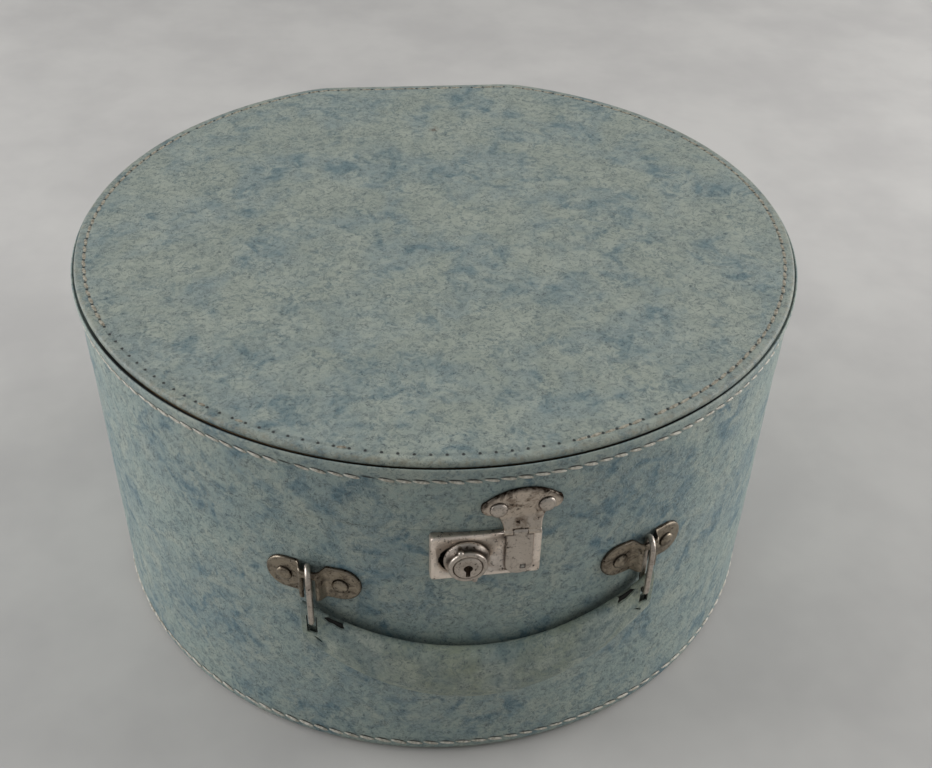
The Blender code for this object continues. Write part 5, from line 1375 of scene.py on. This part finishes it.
wire_loop("link_left", -LINK_X, "handle_link_left")
wire_loop("link_right", LINK_X, "handle_link_right")

# %% [markdown]
# ## Handle
#
# The handle is leatherette folded round a fibre core, thin and flat at its ends and padded in its
# middle. It is a grid bent to a tube that follows the drum's front. Each link goes through a slot near
# an end. There the cover has also split along its upper fold and torn below the link, and the core
# shows, coloured near black as painted shade for the inside of the openings.

# %% Handle's shape
HANDLE_END = 25.5
HANDLE_OUT = (179.7 * MM, 178.5 * MM)
HANDLE_LOW = (53.3 * MM, 78.5 * MM)
HANDLE_HIGH = (82.3 * MM, 102.6 * MM)
SQUARENESS = 0.72


def bowed(measure, share):
    """A measure, given in the middle and at the end, that changes as the square of the share."""
    middle, end = measure
    return middle + (end - middle) * share ** 2


def handle_place(share):
    """Half thickness, distance out, lower edge and upper edge at a share of the half span."""
    fade = max(0.0, 1 - (share / 0.86) ** 2) ** 0.8
    half = 2.1 * MM + 3.9 * MM * fade
    to_link = min(abs(share) * HANDLE_END / math.degrees(BRACKET_ANGLE), 1.0)
    return half, bowed(HANDLE_OUT, to_link), bowed(HANDLE_LOW, share), bowed(HANDLE_HIGH, share)


def handle_point(inset, share, turn):
    """A point of the handle's skin; turn goes round its section, a rounded rectangle."""
    half, out, low, high = handle_place(share)
    across = math.copysign(abs(math.cos(turn)) ** SQUARENESS, math.cos(turn))
    up = math.copysign(abs(math.sin(turn)) ** SQUARENESS, math.sin(turn))
    distance = out + (half - inset) * across
    height = (low + high) / 2 + ((high - low) / 2 - inset) * up
    angle = share * math.radians(HANDLE_END)
    return Vector((distance * math.sin(angle), -distance * math.cos(angle), height))


def bent_tube(rows, sides):
    """A grid whose rows are (inset, share), bent into a tube; the last row meets the first."""
    work = bmesh.new()
    bmesh.ops.create_grid(work, x_segments=len(rows) - 1, y_segments=sides, size=1.0)
    for vertex in work.verts:
        inset, share = rows[round((vertex.co.x + 1) / 2 * (len(rows) - 1))]
        vertex.co = handle_point(inset, share, math.pi * (vertex.co.y + 1))
    bmesh.ops.remove_doubles(work, verts=work.verts, dist=SAME_POINT)
    bmesh.ops.recalc_face_normals(work, faces=work.faces)
    return work


rows = [(0.0, share / 60) for share in range(-60, 61)]
rows += [(0.9 * MM, share / 60) for share in range(60, -61, -4)]
rows.append(rows[0])
work = bent_tube(rows, 48)
handle_leatherette = leatherette("handle_leatherette", "#8f9783", "#667a7a", 1.3)
handle = finish_mesh(
    "handle_skin", work, handle_leatherette, "handle", ["handle_cover"]
)


# %% Slots, splits and tears
def ragged_hole(half, low, high, depth):
    """A torn slit with pointed ends, from a depth below the local plane to 4 mm above it."""
    shares = (-1.0, -0.7, -0.35, 0.05, 0.4, 0.75)
    upper = [(half * share, high * chance.uniform(0.6, 1.0) * (1 - share ** 4)) for share in shares]
    lower = [(-half * share, -low * chance.uniform(0.5, 1.0) * (1 - share ** 4)) for share in shares]
    return pushed_up(upper + lower, -depth, 4 * MM)


def on_handle(turn, z, tilt):
    """A place on the handle's front, tilted about the way out; both angles are in degrees."""
    place = facing_out(math.radians(turn), 0.0, 180 * MM, z)
    return place @ Matrix.Rotation(math.radians(tilt), 4, "Z")


cuts = []
for x in (-LINK_X, LINK_X):
    slot = box_shape((x - 2.2 * MM, -175 * MM, 85.8 * MM), (x + 2.2 * MM, -150 * MM, 96.4 * MM))
    cuts.append((slot, IN_PLACE))
for side in (-1, 1):
    split = ragged_hole(5.6 * MM, 1.2 * MM, 1.9 * MM, 2.6 * MM)
    tear = ragged_hole(2.6 * MM, 0.7 * MM, 0.7 * MM, 1.0 * MM)
    cuts.append((split, on_handle(side * 20.8, 94.6 * MM, side * 22.6)))
    cuts.append((tear, on_handle(side * 23.2, 82.6 * MM, -38.0)))
cut_away(handle, cuts)

# %% [markdown]
# ## Finishes of the solids that stay
#
# The boards, strips, pins, the handle's core and the parts inside the lock keep their solids, and get
# the finish of their material; the handle's core is near black, as painted shade for its openings.

# %% Finishes for kept solids
kept = {
    BOARD: ("body_board", "base_board", "lid_rim_board", "lid_top_board"),
    FIBRE: ("base_corner_strip", "lid_corner_strip"),
    # Near black: painted shade inside the handle's slots, splits and tears.
    CORE_SHADE_FIBRE: ("handle_core",),
    STEEL: (
        "hinge_pin_left", "hinge_pin_right", "lock_case", "latch_spring",
        "latch_slider", "lock_cam", "hasp_pin", "hasp_hook",
    ),
}
for material, names in kept.items():
    for name in names:
        nodes[name].data.materials.clear()
        nodes[name].data.materials.append(material)
    print(material.name, "on", ", ".join(names))

# %% [markdown]
# ## Floor and light
#
# The box stands on plain pale cloth between two large soft lights, one at each side and a little
# behind, with a weak one overhead and a pale room all round. So both sides are lit, the front under
# the lock is darkest, and the metal has something to reflect.

# %% Floor
work = bmesh.new()
bmesh.ops.create_grid(work, x_segments=2, y_segments=2, size=6.0)
mesh = bpy.data.meshes.new("floor")
work.to_mesh(mesh)
work.free()
floor_material, tree, surface = new_material("pale_table_cloth", 0.9)
place = add(tree, "ShaderNodeTexCoord").outputs["Object"]
folds = mottle(tree, place, 120 * MM, 0.3, 0.7, detail=4.0)
tree.links.new(blended(tree, folds, linear("#cac7c2"), linear("#bebbb7")), surface.inputs["Base Color"])
mesh.materials.append(floor_material)
floor = bpy.data.objects.new("floor", mesh)
bpy.context.scene.collection.objects.link(floor)

# %% Lights
world = bpy.data.worlds.new("room")
world.use_nodes = True
room = world.node_tree.nodes["Background"]
room.inputs["Color"].default_value = linear("#dfe2e4")
room.inputs["Strength"].default_value = 0.42
bpy.context.scene.world = world
AIM = Vector((0.0, 0.0, 0.1))


def soft_light(name, size, energy, place, colour):
    """A rectangular light at a place, turned to the box."""
    light = bpy.data.objects.new(name, bpy.data.lights.new(name, "AREA"))
    light.data.shape = "RECTANGLE"
    light.data.size, light.data.size_y = size
    light.data.energy = energy
    light.data.color = linear(colour)[:3]
    light.location = place
    light.rotation_euler = (AIM - Vector(place)).to_track_quat("-Z", "Y").to_euler()
    bpy.context.scene.collection.objects.link(light)
    print(name, energy, "W")


soft_light("left window", (1.2, 0.8), 18.0, (-1.5, 0.25, 0.68), "#fbfcff")
soft_light("right window", (1.2, 0.8), 18.5, (1.5, 0.10, 0.64), "#fdfdff")
soft_light("ceiling", (1.6, 1.2), 2.0, (0.0, 0.5, 1.7), "#ffffff")
